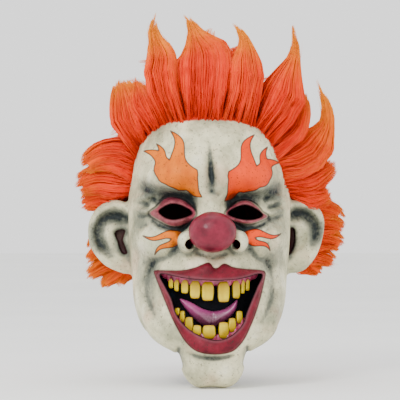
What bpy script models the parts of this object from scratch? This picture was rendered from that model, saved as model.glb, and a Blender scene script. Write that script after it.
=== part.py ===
"""Full-head clown mask of cast latex, worn over the head.

A thin latex skin carries glued faux-fur hair in flame-shaped locks, a ball nose, and a mouth built
behind the lips from a lining, two gums, separate teeth, a tongue and a breathing mesh. Foam pads
space the skin from the head. Two hook-and-loop straps close the slit at the nape.

The row frame: +Z up, the face looks towards -Y, and the origin is the middle of the crown pad's
underside, where the top of the wearer's head rests. Lengths are in metres.
"""

import math

import bmesh
import bpy
from mathutils import Matrix, Vector

MM = 0.001
GAP = 0.4 * MM                    # left between pieces that touch

# Driving dimensions of the head
SKIN_THICKNESS = 3 * MM
EYE_Z = -112 * MM
EYE_SPACING = 70 * MM
EYE_HOLE = (33 * MM, 14 * MM)     # width and height of each eye hole
NOSE_RADII = (23.5 * MM, 22 * MM, 20.5 * MM)
NOSE_CENTRE = Vector((0, -124, -132)) * MM
NOSTRIL = (22 * MM, -145 * MM, 3.2 * MM)       # x, z and radius of each breathing hole
EAR_CENTRE = Vector((95, 2, -138)) * MM
EAR_RADII = Vector((31, 9, 38)) * MM
EAR_TURN = math.radians(22)       # how far each ear's hollow turns to the front
CHIN_CENTRE = Vector((0, -99, -257)) * MM
CHIN_RADII = Vector((32, 25, 29)) * MM
PAD_FACE = (50 * MM, 60 * MM)     # width and length of the crown pad's flat underside
BROW_PAD = (88 * MM, 24 * MM, -50 * MM, 7 * MM)        # width, height, middle z and thickness

# The skin is lofted through stations from the crown to the neck rim. Each row gives, in mm, the
# front point (y, z), the side point (x, y, z), the back point (y, z), the ring's squareness and
# how sharply the ring dips at the front, as it does around the long chin.
STATIONS = (
    ((2, 16), (0, 2, 16), (2, 16), 2.0, 2.0),
    ((-45, 2), (43, 3, 2), (50, 2), 2.0, 2.0),
    ((-78, -28), (69, 3, -30), (82, -29), 2.1, 2.0),
    ((-93, -72), (81, 2, -72), (97, -68), 2.2, 2.0),
    ((-96, -112), (84, 0, -110), (96, -103), 2.2, 2.0),
    ((-104, -150), (83, -3, -148), (88, -134), 2.2, 2.0),
    ((-116, -186), (79, -7, -182), (80, -160), 2.2, 2.2),
    ((-117, -222), (75, -10, -208), (74, -178), 2.2, 3.0),
    ((-120, -252), (68, -12, -229), (69, -191), 2.2, 5.0),
    ((-108, -274), (60, -13, -238), (66, -197), 2.2, 6.0),
    ((-86, -268), (58, -12, -236), (65, -199), 2.1, 5.0),
    ((-72, -250), (56, -12, -230), (64, -201), 2.0, 1.0),
)
RIM_LEVEL = len(STATIONS) - 1
MIRRORED_AT_CROWN = (0, 2, 5)     # the outward numbers of a row change sign past the crown
RING_LEVELS = (0.45, 0.9, 1.4, 1.9, 2.4, 2.85, 3.2, 3.5, 3.75, 4.0, 4.25, 4.5, 4.75, 5.0, 5.3, 5.65,
               6.0, 6.4, 6.8, 7.2, 7.6, 8.1, 8.6, 9.1, 9.6, 10.2, 11)
FINE_TURN, COARSE_TURN = 6.0, 10.0             # degrees between columns, on the face and elsewhere
FACE_TURN = 60.0                               # the face's columns reach this far to each side

# Soft swellings and hollows of the face: x, z, half-width, half-height and forward push, in mm.
# Rows off the middle are mirrored to the other side.
RELIEF = (
    (34, -86, 24, 11, 9),         # brow
    (36, -112, 19, 10, -8),       # eye socket
    (0, -108, 11, 24, 12),        # nose bridge
    (24, -144, 9, 10, 15),        # nostril wing
    (55, -141, 18, 15, 9),        # cheek
    (0, -134, 16, 14, 7),         # stub that the ball nose is glued over
)

# The mouth hole in the skin: half-widths down its height, in mm
MOUTH_TOP, MOUTH_BOTTOM = -176 * MM, -240 * MM
MOUTH_HALF_WIDTHS = (50, 48, 43, 38, 31, 20)
CUP_MARGIN, CUP_WALL = 6 * MM, 2.5 * MM        # the lining's inner room past the hole, and its wall

# Teeth: centre x, gum-line z, biting-edge z and width, in mm, from the left of the view
UPPER_TEETH = (
    (-41.6, -178, -188.5, 5.2), (-36, -179, -191.5, 5.2), (-27.9, -180, -193.6, 8.4),
    (-17.4, -181, -198.7, 10.8), (-4.4, -182, -200.7, 12.2), (12, -182, -202.2, 12.2),
    (25, -181, -198.7, 8.8), (31.9, -179, -194, 4.3), (36.6, -178, -191, 4.4),
)
LOWER_TEETH = (
    (-35.3, -214, -207.5, 4.6), (-30.2, -221, -210.5, 4.8), (-23.5, -230, -216.5, 7.8),
    (-15.2, -234, -224.5, 8), (-3, -237, -224.5, 11.5), (12, -237, -221.5, 9.5),
    (21, -230.5, -217.5, 7.4), (28.4, -222, -210.5, 6.6),
)
TOOTH_DEPTH = 6 * MM
TOOTH_IN_GUM = 1.8 * MM           # how far each root sits in its socket
ARCH_FRONT_Y = -108 * MM          # fronts of the middle teeth
ARCH_CURVE = 7.0                  # 1/m: how fast the tooth rows fall back to each side
CUP_SETBACK = 18 * MM             # from the fronts of the teeth to the lining's floor
GUM_RADIUS = 4.6 * MM
TONGUE_PATH = ((-2, -92.5, -233), (-2, -95, -222), (-3, -97, -209), (-3, -96, -199))
TONGUE_SIZES = ((15, 2.5), (20, 3.5), (24, 4), (29, 2.8))       # half-width and half-thickness

# Hair locks: root, bend and tip, in mm, then the half-width and half-depth at the root
FRONT_LOCKS = (
    ((-46, -46, -8), (-58, -45, 48), (-57, -40, 85), 22, 20),
    ((-13, -50, -8), (-12, -50, 50), (-29, -46, 84), 25, 22),
    ((9, -48, -8), (8, -46, 30), (6, -44, 54), 22, 20),
    ((34, -50, -8), (40, -48, 40), (22, -46, 76), 24, 22),
)
LEFT_LOCKS = (
    ((-68, -14, -24), (-93, -18, 2), (-93, -20, 22), 22, 20),
    ((-76, 6, -62), (-112, 6, -60), (-136, 8, -84), 26, 22),
    ((-78, 34, -105), (-108, 36, -118), (-116, 38, -146), 20, 16),
    ((-66, 44, -142), (-96, 44, -164), (-122, 44, -184), 18, 15),
)
RIGHT_LOCKS = (
    ((66, -40, -20), (86, -38, 28), (82, -36, 73), 24, 20),
    ((68, -12, -30), (112, -14, -34), (103, -16, 21), 24, 20),
    ((76, 6, -66), (106, 6, -68), (118, 6, -96), 24, 20),
    ((76, 34, -108), (116, 36, -104), (134, 38, -130), 20, 16),
    ((66, 44, -140), (92, 44, -152), (112, 44, -172), 18, 15),
)
BACK_LOCKS = (
    ((-30, 18, 6), (-34, 26, 32), (-44, 40, 52), 22, 20),
    ((10, 22, 8), (12, 32, 36), (4, 48, 58), 24, 20),
    ((40, 24, 0), (48, 34, 22), (44, 46, 44), 20, 18),
    ((-44, 60, -28), (-60, 82, -12), (-66, 100, 14), 24, 20),
    ((0, 70, -20), (2, 98, -6), (-4, 116, 24), 24, 20),
    ((44, 58, -30), (62, 82, -18), (74, 98, 8), 24, 20),
    ((-40, 76, -78), (-60, 102, -82), (-68, 116, -62), 22, 20),
    ((4, 88, -74), (4, 118, -80), (2, 130, -58), 26, 20),
    ((42, 74, -80), (62, 100, -88), (72, 112, -70), 22, 20),
    ((-26, 82, -110), (-32, 104, -120), (-36, 106, -140), 20, 14),
    ((26, 82, -110), (32, 104, -120), (36, 106, -138), 20, 14),
)

# Each fur panel's zone: the axis it is cut along, its outline in mm on the other two axes, and where
# it starts and ends along that axis
FRONT_ZONE = ("Z", ((-59.8, -200), (59.8, -200), (59.8, 8), (-59.8, 8)), -26, 200)
BACK_OUTLINE = ((-59.8, 8.4), (59.8, 8.4), (59.8, 48.4), (200, 48.4),
                (200, 200), (-200, 200), (-200, 48.4), (-59.8, 48.4))
BACK_ZONE = ("Z", BACK_OUTLINE, -142, 200)
SIDE_OUTLINE = ((-64, 150), (-64, -22), (-36, -42), (-25, -90), (18, -95), (18, -190), (48, -190),
                (48, 150))
HAIR_PANELS = {
    "hair_front": (FRONT_ZONE, FRONT_LOCKS),
    "hair_left": (("X", SIDE_OUTLINE, -200, -60.2), LEFT_LOCKS),
    "hair_right": (("X", SIDE_OUTLINE, 60.2, 200), RIGHT_LOCKS),
    "hair_back": (BACK_ZONE, BACK_LOCKS),
}
FUR_THICKNESS = 9 * MM

# The slit down the nape and its two straps. Levels and turns are on the skin; layers are how far
# each piece's two faces stand off the skin.
SLIT_WIDTH = 2.5 * MM
SLIT_TOP_Z = -150 * MM
STRAP_LEVELS = {"upper": (5.72, 6.42), "lower": (6.95, 8.15)}
STRAP_TURNS = (162.0, 200.0)      # free end, sewn end
ANCHOR_TURNS = (195.5, 206.0)
PATCH_TURNS = (164.0, 173.0)
ANCHOR_LAYER = (GAP, 3.5 * MM)
LOOP_LAYER = (GAP, 1.7 * MM)
HOOK_LAYER = (2.1 * MM, 3.5 * MM)
STRAP_LAYER = (3.9 * MM, 5.5 * MM)


def material(name, colour, roughness, metallic=0.0):
    """A plain Principled material."""
    made = bpy.data.materials.new(name)
    made.use_nodes = True
    shader = made.node_tree.nodes["Principled BSDF"]
    shader.inputs["Base Color"].default_value = (*colour, 1)
    shader.inputs["Roughness"].default_value = roughness
    shader.inputs["Metallic"].default_value = metallic
    return made


def blend_stations(level, read):
    """A Catmull-Rom curve through what read gives for each station. It is mirrored at the crown."""
    i = min(int(level), RIM_LEVEL - 1)
    f = level - i
    before = read(STATIONS[i - 1]) if i else None
    here, after = read(STATIONS[i]), read(STATIONS[i + 1])
    beyond = read(STATIONS[i + 2]) if i + 2 <= RIM_LEVEL else None
    values = []
    for k, (a, b) in enumerate(zip(here, after)):
        p = before[k] if before else (2 * a - b if k in MIRRORED_AT_CROWN else b)
        n = beyond[k] if beyond else 2 * b - a
        slope_a, slope_b = (b - p) / 2, (n - a) / 2
        values.append(
            a * (2 * f**3 - 3 * f**2 + 1) + slope_a * (f**3 - 2 * f**2 + f)
            + b * (3 * f**2 - 2 * f**3) + slope_b * (f**3 - f**2)
        )
    return values


def relief(x, z):
    """How far the face stands forward of the loft at x, z, in metres."""
    push = 0.0
    for centre_x, centre_z, half_width, half_height, forward in RELIEF:
        for side in ((1,) if centre_x == 0 else (1, -1)):
            across = (x / MM - side * centre_x) / half_width
            up = (z / MM - centre_z) / half_height
            push += forward * MM * math.exp(-(across**2 + up**2))
    return push


def skin_surface(level, turn):
    """The skin's outside at a level (0 crown, RIM_LEVEL neck rim) and a turn (0 front, 90 at +X)."""
    row = blend_stations(
        level, lambda s: (s[0][0], s[0][1], s[1][0], s[1][1], s[1][2], s[2][0], s[2][1], s[3], s[4])
    )
    front_y, front_z, side_x, side_y, side_z, back_y, back_z, squareness, dip = row
    angle = math.radians(turn)
    along, across = abs(math.cos(angle)), math.sin(angle)
    end_y, end_z = (front_y, front_z) if math.cos(angle) > 0 else (back_y, back_z)
    if math.cos(angle) <= 0:
        dip = min(dip, 2.0)
    x = side_x * math.copysign(abs(across) ** (2 / squareness), across)
    y = side_y + (end_y - side_y) * along ** (2 / squareness)
    z = side_z + (end_z - side_z) * along**dip
    point = Vector((x, y, z)) * MM
    if math.cos(angle) > 0:
        point.y -= relief(point.x, point.z) * min(1.0, 3 * along)
    return point


def skin_point(level, turn, offset=0.0):
    """A point that far outside the skin, along its normal."""
    point = skin_surface(level, turn)
    if not offset:
        return point
    if level < 0.05:
        return point + Vector((0, 0, offset))
    step = 0.04
    low, high = max(level - step, 0.02), min(level + step, RIM_LEVEL)
    down = skin_surface(high, turn) - skin_surface(low, turn)
    round_ = skin_surface(level, turn + 2) - skin_surface(level, turn - 2)
    normal = down.cross(round_).normalized()
    return point + normal * offset


def linked(name, mesh, made_of=None, helper=False):
    """An object for the mesh. A helper is a cutter, which no render shows."""
    obj = bpy.data.objects.new(name, mesh)
    bpy.context.scene.collection.objects.link(obj)
    if made_of:
        mesh.materials.append(made_of)
    if helper:
        obj.hide_render = True
        obj.display_type = "WIRE"
    return obj


def mesh_from(name, points, faces):
    """A mesh with its faces turned outwards."""
    mesh = bpy.data.meshes.new(name)
    mesh.from_pydata([tuple(p) for p in points], [], faces)
    work = bmesh.new()
    work.from_mesh(mesh)
    bmesh.ops.recalc_face_normals(work, faces=work.faces)
    work.to_mesh(mesh)
    work.free()
    return mesh


def rings_mesh(name, rings, start=None, end=None):
    """A closed mesh through rings of equal length. start and end are poles; without one, a flat cap."""
    sides = len(rings[0])
    points = [p for ring in rings for p in ring]
    faces = []
    for r in range(len(rings) - 1):
        for s in range(sides):
            a, b = r * sides + s, r * sides + (s + 1) % sides
            faces += [(a, b, b + sides), (a, b + sides, a + sides)]
    for pole, base in ((start, 0), (end, len(rings) - 1)):
        first = base * sides
        if pole is None:
            faces.append(tuple(range(first, first + sides)))
            continue
        points.append(pole)
        faces += [(first + s, first + (s + 1) % sides, len(points) - 1) for s in range(sides)]
    return mesh_from(name, points, faces)


def boolean(obj, other, operation):
    """Adds a Boolean modifier of obj with other."""
    modifier = obj.modifiers.new(f"{operation.lower()}_{other.name}", "BOOLEAN")
    modifier.object = other
    modifier.operation = operation
    modifier.solver = "EXACT"


def ellipsoid(name, centre, radii, segments=20, rings=12, turn=None, made_of=None):
    """A ball stretched to its radii; a helper unless it has a material."""
    mesh = bpy.data.meshes.new(name)
    work = bmesh.new()
    bmesh.ops.create_uvsphere(work, u_segments=segments, v_segments=rings, radius=1)
    work.to_mesh(mesh)
    work.free()
    mesh.transform(Matrix.Diagonal((*radii, 1)))
    if turn:
        mesh.transform(turn)
    mesh.transform(Matrix.Translation(centre))
    return linked(name, mesh, made_of, helper=made_of is None)


def prism(name, outline, low_y, high_y):
    """A helper along Y: an outline of (x, z) points between two depths."""
    rings = [[Vector((x, y, z)) for x, z in outline] for y in (low_y, high_y)]
    return linked(name, rings_mesh(name, rings), helper=True)


def box(name, low, high, made_of=None):
    """A box between two corners."""
    outline = [(low[0], low[2]), (high[0], low[2]), (high[0], high[2]), (low[0], high[2])]
    rings = [[Vector((x, y, z)) for x, z in outline] for y in (low[1], high[1])]
    return linked(name, rings_mesh(name, rings), made_of, helper=made_of is None)


def face_turns():
    """The columns of the skin: fine across the face, coarse round the back."""
    count = round(2 * FACE_TURN / FINE_TURN)
    fine = [-FACE_TURN + FINE_TURN * i for i in range(count + 1)]
    rest = round((360 - 2 * FACE_TURN) / COARSE_TURN)
    return fine + [FACE_TURN + COARSE_TURN * i for i in range(1, rest)]


def head_solid(name, offset, past_rim=0.0, made_of=None):
    """The head's volume at an offset from the skin, closed by a cap past_rim below the neck rim."""
    turns = face_turns()
    rings = [[skin_point(level, turn, offset) for turn in turns] for level in RING_LEVELS]
    if past_rim:
        drop = Vector((0, 0.3 * past_rim, -past_rim))
        rings.append([p + drop for p in rings[-1]])
    centre = sum(rings[-1], Vector()) / len(turns)
    mesh = rings_mesh(name, rings, skin_point(0, 0, offset), centre)
    return linked(name, mesh, made_of, helper=made_of is None)


def eye_outline(side):
    """A rounded outline of one eye hole."""
    steps = 14
    centre = side * EYE_SPACING / 2
    turns = [2 * math.pi * i / steps for i in range(steps)]
    return [
        (centre + math.cos(t) * EYE_HOLE[0] / 2, EYE_Z + math.sin(t) * EYE_HOLE[1] / 2)
        for t in turns
    ]


def mouth_outline(margin=0.0):
    """The laughing mouth's edge, margin outside the hole in the skin."""
    last = len(MOUTH_HALF_WIDTHS) - 1
    right = []
    for i, half in enumerate(MOUTH_HALF_WIDTHS):
        z = MOUTH_TOP + margin + (MOUTH_BOTTOM - MOUTH_TOP - 2 * margin) * i / last
        right.append((half * MM + margin, z))
    return right + [(-x, z) for x, z in reversed(right)]


def ear(side, margin=0.0, hollowed=True):
    """One ear: a deep cupped flap that leans out from the side of the head."""
    name = f"ear_{'right' if side > 0 else 'left'}{'_room' if margin else ''}"
    centre = Vector((side * EAR_CENTRE.x, EAR_CENTRE.y, EAR_CENTRE.z))
    turn = Matrix.Rotation(side * EAR_TURN, 4, "Z")
    flap = ellipsoid(name, centre, EAR_RADII + Vector((margin, margin, margin)), 24, 12, turn)
    if hollowed:
        hollow_at = centre + Vector((-side * 2, -11, 1)) * MM
        hollow_radii = Vector((23, 11, 29)) * MM
        hollow = ellipsoid(f"{name}_hollow", hollow_at, hollow_radii, 20, 10, turn)
        boolean(flap, hollow, "DIFFERENCE")
    return flap


def latex_skin(made_of):
    """The one-piece casting: face, ears, skull and neck band, open at the eyes, mouth, neck and slit."""
    skin = head_solid("latex_skin", 0.0, made_of=made_of)
    for side in (1, -1):
        boolean(skin, ear(side), "UNION")
    boolean(skin, ellipsoid("chin", CHIN_CENTRE, CHIN_RADII, 24, 14), "UNION")
    wall = Vector((SKIN_THICKNESS, SKIN_THICKNESS, SKIN_THICKNESS))
    boolean(skin, head_solid("cavity", -SKIN_THICKNESS, 30 * MM), "DIFFERENCE")
    boolean(skin, ellipsoid("chin_hollow", CHIN_CENTRE, CHIN_RADII - wall, 20, 12), "DIFFERENCE")
    for side in (1, -1):
        name = "right" if side > 0 else "left"
        boolean(skin, prism(f"eye_{name}", eye_outline(side), -140 * MM, -50 * MM), "DIFFERENCE")
        x, z, radius = NOSTRIL
        nostril = [
            (side * x + radius * math.cos(math.pi * i / 4), z + radius * math.sin(math.pi * i / 4))
            for i in range(8)
        ]
        boolean(skin, prism(f"nostril_{name}", nostril, -160 * MM, -80 * MM), "DIFFERENCE")
    boolean(skin, prism("mouth_hole", mouth_outline(), -160 * MM, -60 * MM), "DIFFERENCE")
    half = SLIT_WIDTH / 2
    slit = box("slit", (-half, 40 * MM, -230 * MM), (half, 120 * MM, SLIT_TOP_Z))
    boolean(skin, slit, "DIFFERENCE")
    return skin


def clown_nose(made_of):
    """The ball nose, hollowed behind to sit on the face."""
    nose = ellipsoid("clown_nose", NOSE_CENTRE, NOSE_RADII, 24, 12, made_of=made_of)
    boolean(nose, head_solid("nose_seat", GAP), "DIFFERENCE")
    return nose


def arch_y(x):
    """Where the front of a tooth row lies at x."""
    return ARCH_FRONT_Y + ARCH_CURVE * x * x


def mouth_room(name, margin, setback, made_of=None):
    """The volume behind the mouth hole, margin wider than it, with a floor that follows the teeth."""
    outline = mouth_outline(margin)
    middle = (MOUTH_TOP + MOUTH_BOTTOM) / 2
    rings = [[Vector((x, -170 * MM, z)) for x, z in outline]]
    for share in (1.0, 0.66, 0.33):
        ring = []
        for x, z in outline:
            ring.append(Vector((x * share, arch_y(x * share) + setback, middle + (z - middle) * share)))
        rings.append(ring)
    floor = Vector((0, arch_y(0) + setback, middle))
    solid = linked(name, rings_mesh(name, rings, None, floor), made_of, helper=made_of is None)
    boolean(solid, head_solid(f"{name}_front", -SKIN_THICKNESS - GAP), "INTERSECT")
    return solid


def mouth_lining(made_of):
    """The dark cup glued inside the mouth hole, which carries the gums, teeth and tongue."""
    cup = mouth_room("mouth_lining", CUP_MARGIN + CUP_WALL, CUP_SETBACK + CUP_WALL, made_of)
    inner = mouth_room("cup_room", CUP_MARGIN, CUP_SETBACK)
    inner.modifiers.clear()
    boolean(cup, inner, "DIFFERENCE")
    return cup


def tooth(name, row, made_of=None, grow=0.0):
    """One tooth: a rounded peg, widest near its biting edge; grown, it is the cutter of its socket."""
    x, gum_z, edge_z, width = (value * MM for value in row)
    along = Vector((1, 2 * ARCH_CURVE * x, 0)).normalized()
    outward = Vector((along.y, -along.x, 0))
    root = Vector((x, arch_y(x), gum_z)) - outward * TOOTH_DEPTH / 2
    up = Vector((0, 0, math.copysign(1, gum_z - edge_z)))
    height = abs(gum_z - edge_z)
    profile = ((-TOOTH_IN_GUM - grow, 0.72, 0.8), (0.3 * height, 0.92, 0.95),
               (0.75 * height, 1.0, 0.85), (height + grow, 0.84, 0.5))
    sides = 8
    rings = []
    for drop, wide, deep in profile:
        ring = []
        for s in range(sides):
            angle = 2 * math.pi * s / sides
            across, out = (math.copysign(abs(v) ** 0.75, v) for v in (math.cos(angle), math.sin(angle)))
            ring.append(
                root - up * drop + along * across * (wide * width / 2 + grow)
                + outward * out * (deep * TOOTH_DEPTH / 2 + grow)
            )
        rings.append(ring)
    return linked(name, rings_mesh(name, rings), made_of, helper=made_of is None)


def swept(name, path, sizes, made_of, sides=8):
    """A rounded bar along a path, with a half-width across it and a half-depth along Y."""
    rings = []
    for i, point in enumerate(path):
        before, after = path[max(i - 1, 0)], path[min(i + 1, len(path) - 1)]
        along = (after - before).normalized()
        wide = along.cross(Vector((0, 1, 0))).normalized()
        deep = wide.cross(along)
        half_width, half_depth = sizes[i]
        rings.append([
            point + wide * half_width * math.cos(2 * math.pi * s / sides)
            + deep * half_depth * math.sin(2 * math.pi * s / sides)
            for s in range(sides)
        ])
    return linked(name, rings_mesh(name, rings), made_of)


def gum(name, teeth, upper, made_of):
    """The gum that a row of teeth stands in, with a socket round each root."""
    side = 1 if upper else -1
    path = []
    for i in range(11):
        first, last = teeth[0][0] - 1.5, teeth[-1][0] + 1.5
        x = first + (last - first) * i / 10
        before = [t for t in teeth if t[0] <= x][-1:] or [teeth[0]]
        after = [t for t in teeth if t[0] > x][:1] or [teeth[-1]]
        a, b = before[0], after[0]
        mix = (x - a[0]) / (b[0] - a[0]) if b is not a else 0
        gum_z = (a[1] + (b[1] - a[1]) * mix) * MM + side * GUM_RADIUS
        path.append(Vector((x * MM, arch_y(x * MM) + TOOTH_DEPTH / 2, gum_z)))
    bar = swept(name, path, [(GUM_RADIUS, GUM_RADIUS)] * len(path), made_of)
    boolean(bar, mouth_room(f"{name}_room", CUP_MARGIN - GAP, CUP_SETBACK - GAP), "INTERSECT")
    for i, row in enumerate(teeth, 1):
        boolean(bar, tooth(f"{name}_socket_{i}", row, grow=GAP), "DIFFERENCE")
    return bar


def tongue(made_of):
    """The tongue: a flat lobe that rises behind the lower teeth."""
    path = [Vector(p) * MM for p in TONGUE_PATH]
    sizes = [(half_width * MM, half_depth * MM) for half_width, half_depth in TONGUE_SIZES]
    lobe = swept("tongue", path, sizes, made_of, sides=16)
    boolean(lobe, mouth_room("tongue_room", CUP_MARGIN - GAP, CUP_SETBACK - GAP), "INTERSECT")
    return lobe


def band(name, levels, turns, layer, made_of, count, lines):
    """A slab that follows the skin: a range of levels and turns between two distances off it.

    count is its columns of points and lines its rows.
    """
    grids = []
    for off in layer:
        for r in range(lines):
            level = levels[0] + (levels[1] - levels[0]) * r / (lines - 1)
            grids.append([
                skin_point(level, turns[0] + (turns[1] - turns[0]) * c / (count - 1), off)
                for c in range(count)
            ])
    points = [p for grid in grids for p in grid]
    faces = []
    for r in range(lines - 1):
        for c in range(count - 1):
            a = r * count + c
            b = a + lines * count
            faces += [(a, a + 1, a + 1 + count), (a, a + 1 + count, a + count)]
            faces += [(b, b + 1 + count, b + 1), (b, b + count, b + 1 + count)]
    edge = [c for c in range(count)] + [r * count + count - 1 for r in range(1, lines)]
    edge += [(lines - 1) * count + c for c in range(count - 2, -1, -1)]
    edge += [r * count for r in range(lines - 2, 0, -1)]
    for a, b in zip(edge, edge[1:] + edge[:1]):
        faces.append((a, b, b + lines * count, a + lines * count))
    return linked(name, mesh_from(name, points, faces), made_of)


def lock(name, shape):
    """One flame-shaped lock: a horn that bends from its root to a point."""
    root, bend, tip = (Vector(p) * MM for p in shape[:3])
    half_width, half_depth = (value * MM for value in shape[3:])
    backwards = abs(tip.y - root.y) > abs(tip.x - root.x)
    sides = 8
    rings = []
    for share in (0.0, 0.22, 0.45, 0.65, 0.82, 0.93):
        centre = root * (1 - share) ** 2 + bend * 2 * share * (1 - share) + tip * share**2
        along = ((bend - root) * (1 - share) + (tip - bend) * share).normalized()
        if backwards:
            wide = (Vector((1, 0, 0)) - along * along.x).normalized()
            deep = wide.cross(along)
        else:
            deep = (Vector((0, 1, 0)) - along * along.y).normalized()
            wide = along.cross(deep)
        size = (1 - share) ** 0.75
        rings.append([
            centre + wide * half_width * size * math.cos(2 * math.pi * s / sides)
            + deep * half_depth * size * math.sin(2 * math.pi * s / sides)
            for s in range(sides)
        ])
    return linked(name, rings_mesh(name, rings, None, tip), helper=True)


def zone_solid(name, zone, made_of):
    """A prism along X or Z."""
    axis, outline, low, high = zone
    rings = []
    for end in (low, high):
        points = [(end, a, b) if axis == "X" else (a, b, end) for a, b in outline]
        rings.append([Vector(p) * MM for p in points])
    return linked(name, rings_mesh(name, rings), made_of)


def hair_panel(name, zone, locks, made_of):
    """A fur panel: the backing and locks in its zone, cut to clear the skin and the ears."""
    fur = head_solid(f"{name}_fur", FUR_THICKNESS)
    for i, shape in enumerate(locks, 1):
        boolean(fur, lock(f"{name}_lock_{i}", shape), "UNION")
    panel = zone_solid(name, zone, made_of)
    boolean(panel, fur, "INTERSECT")
    boolean(panel, head_solid(f"{name}_seat", GAP), "DIFFERENCE")
    for side in (1, -1):
        boolean(panel, ear(side, 1 * MM, hollowed=False), "DIFFERENCE")
    return panel


def pads(made_of):
    """The foam inside: a flat-faced pad under the crown and a curved one behind the brow."""
    half_x, half_y = PAD_FACE[0] / 2, PAD_FACE[1] / 2
    crown = box("crown_pad", (-half_x, -half_y, 0), (half_x, half_y, 40 * MM), made_of)
    boolean(crown, head_solid("crown_room", -SKIN_THICKNESS - GAP), "INTERSECT")
    width, height, middle, thick = BROW_PAD
    low = (-width / 2, -130 * MM, middle - height / 2)
    high = (width / 2, -30 * MM, middle + height / 2)
    brow = box("brow_pad", low, high, made_of)
    boolean(brow, head_solid("brow_room", -SKIN_THICKNESS - GAP), "INTERSECT")
    boolean(brow, head_solid("brow_inside", -SKIN_THICKNESS - GAP - thick), "DIFFERENCE")


def move_origin(obj, point):
    """Puts the object's origin at a point and leaves its shape where it is."""
    obj.data.transform(Matrix.Translation(-point))
    obj.location = point


def straps(webbing, hook, loop):
    """The two straps across the slit, each hinged along its sewn end."""
    for name, levels in STRAP_LEVELS.items():
        inset = 0.12 * (levels[1] - levels[0])
        inner = (levels[0] + inset, levels[1] - inset)
        band(f"strap_anchor_{name}", levels, ANCHOR_TURNS, ANCHOR_LAYER, webbing, 3, 3)
        band(f"loop_patch_{name}", inner, PATCH_TURNS, LOOP_LAYER, loop, 3, 3)
        patch = band(f"hook_patch_{name}", inner, PATCH_TURNS, HOOK_LAYER, hook, 3, 3)
        strap = band(f"strap_{name}", levels, STRAP_TURNS, STRAP_LAYER, webbing, 9, 3)
        hinge = skin_point(sum(levels) / 2, STRAP_TURNS[1], sum(STRAP_LAYER) / 2)
        for obj in (patch, strap):
            move_origin(obj, hinge)


def main():
    """Builds every piece of the mask."""
    for obj in list(bpy.data.objects):
        bpy.data.objects.remove(obj)
    latex = material("latex", (0.72, 0.71, 0.64), 0.5)
    fur = material("fur", (0.80, 0.10, 0.04), 0.8)
    lining = material("lining", (0.02, 0.04, 0.09), 0.5)
    gums = material("gums", (0.30, 0.03, 0.08), 0.3)
    enamel = material("teeth", (0.80, 0.66, 0.20), 0.3)
    foam = material("foam", (0.10, 0.10, 0.11), 0.95)
    webbing = material("webbing", (0.03, 0.03, 0.03), 0.85)

    latex_skin(latex)
    clown_nose(material("nose", (0.45, 0.03, 0.08), 0.35))
    mouth_lining(lining)
    gum("upper_gum", UPPER_TEETH, True, gums)
    gum("lower_gum", LOWER_TEETH, False, gums)
    for i, row in enumerate(UPPER_TEETH, 1):
        tooth(f"upper_tooth_{i}", row, enamel)
    for i, row in enumerate(LOWER_TEETH, 1):
        tooth(f"lower_tooth_{i}", row, enamel)
    tongue(material("tongue", (0.45, 0.10, 0.25), 0.35))
    for name, (zone, locks) in HAIR_PANELS.items():
        hair_panel(name, zone, locks, fur)
    pads(foam)
    hook = material("hook", (0.05, 0.05, 0.05), 0.7)
    loop = material("loop", (0.05, 0.05, 0.05), 0.95)
    straps(webbing, hook, loop)


main()
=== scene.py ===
"""Looks for the full-head latex clown mask.

The casting is sculpted as a signed distance field on a grid and meshed once. Flames, lips and eye
rims are signed distances stored on its vertices, so the paint's edges stay crisp. Hair is built
strand by strand in flame-shaped locks. Lengths in this file are in millimetres until a mesh is made;
the studio's are in metres.
"""

import math
import random

import bmesh
import bpy
import numpy as np
import openvdb
from mathutils import Matrix, Vector, noise


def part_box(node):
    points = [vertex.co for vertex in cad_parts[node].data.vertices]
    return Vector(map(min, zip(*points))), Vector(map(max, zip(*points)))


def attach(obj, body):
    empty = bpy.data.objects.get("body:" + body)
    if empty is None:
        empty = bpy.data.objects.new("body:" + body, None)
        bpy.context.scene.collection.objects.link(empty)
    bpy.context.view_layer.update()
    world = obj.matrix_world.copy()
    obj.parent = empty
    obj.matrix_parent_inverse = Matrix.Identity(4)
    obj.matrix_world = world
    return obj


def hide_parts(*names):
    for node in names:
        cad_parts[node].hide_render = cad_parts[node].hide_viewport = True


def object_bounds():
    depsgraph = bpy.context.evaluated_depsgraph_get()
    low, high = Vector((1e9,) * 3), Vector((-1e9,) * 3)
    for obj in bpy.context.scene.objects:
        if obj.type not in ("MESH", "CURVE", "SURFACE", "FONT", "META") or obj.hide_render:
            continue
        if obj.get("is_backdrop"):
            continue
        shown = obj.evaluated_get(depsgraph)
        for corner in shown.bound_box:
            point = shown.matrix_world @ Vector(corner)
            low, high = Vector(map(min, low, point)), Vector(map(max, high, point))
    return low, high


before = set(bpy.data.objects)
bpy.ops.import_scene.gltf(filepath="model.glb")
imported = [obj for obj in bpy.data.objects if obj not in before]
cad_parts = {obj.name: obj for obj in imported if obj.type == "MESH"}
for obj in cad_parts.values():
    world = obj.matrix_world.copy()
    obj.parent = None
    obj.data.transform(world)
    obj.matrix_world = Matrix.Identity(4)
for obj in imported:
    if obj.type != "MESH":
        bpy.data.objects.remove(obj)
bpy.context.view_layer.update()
MM = 0.001
RNG = np.random.default_rng(7)

VOXEL = 1.3
LOW = np.array((-131.0, -152.0, -293.0))
HIGH = np.array((131.0, 106.0, 24.0))
SKIN = 3.0                        # thickness of the casting
EYE_FAR = 2400                    # from the camera to the plane of the face
AIM_X, AIM_Y, AIM_Z = -12, -95, -100    # the middle of the view on that plane
SLANT = 0.0244                    # the turned view's drift along x for each mm of depth
PAINT_REACH = 6                   # distances to painted outlines are kept up to this far

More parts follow.
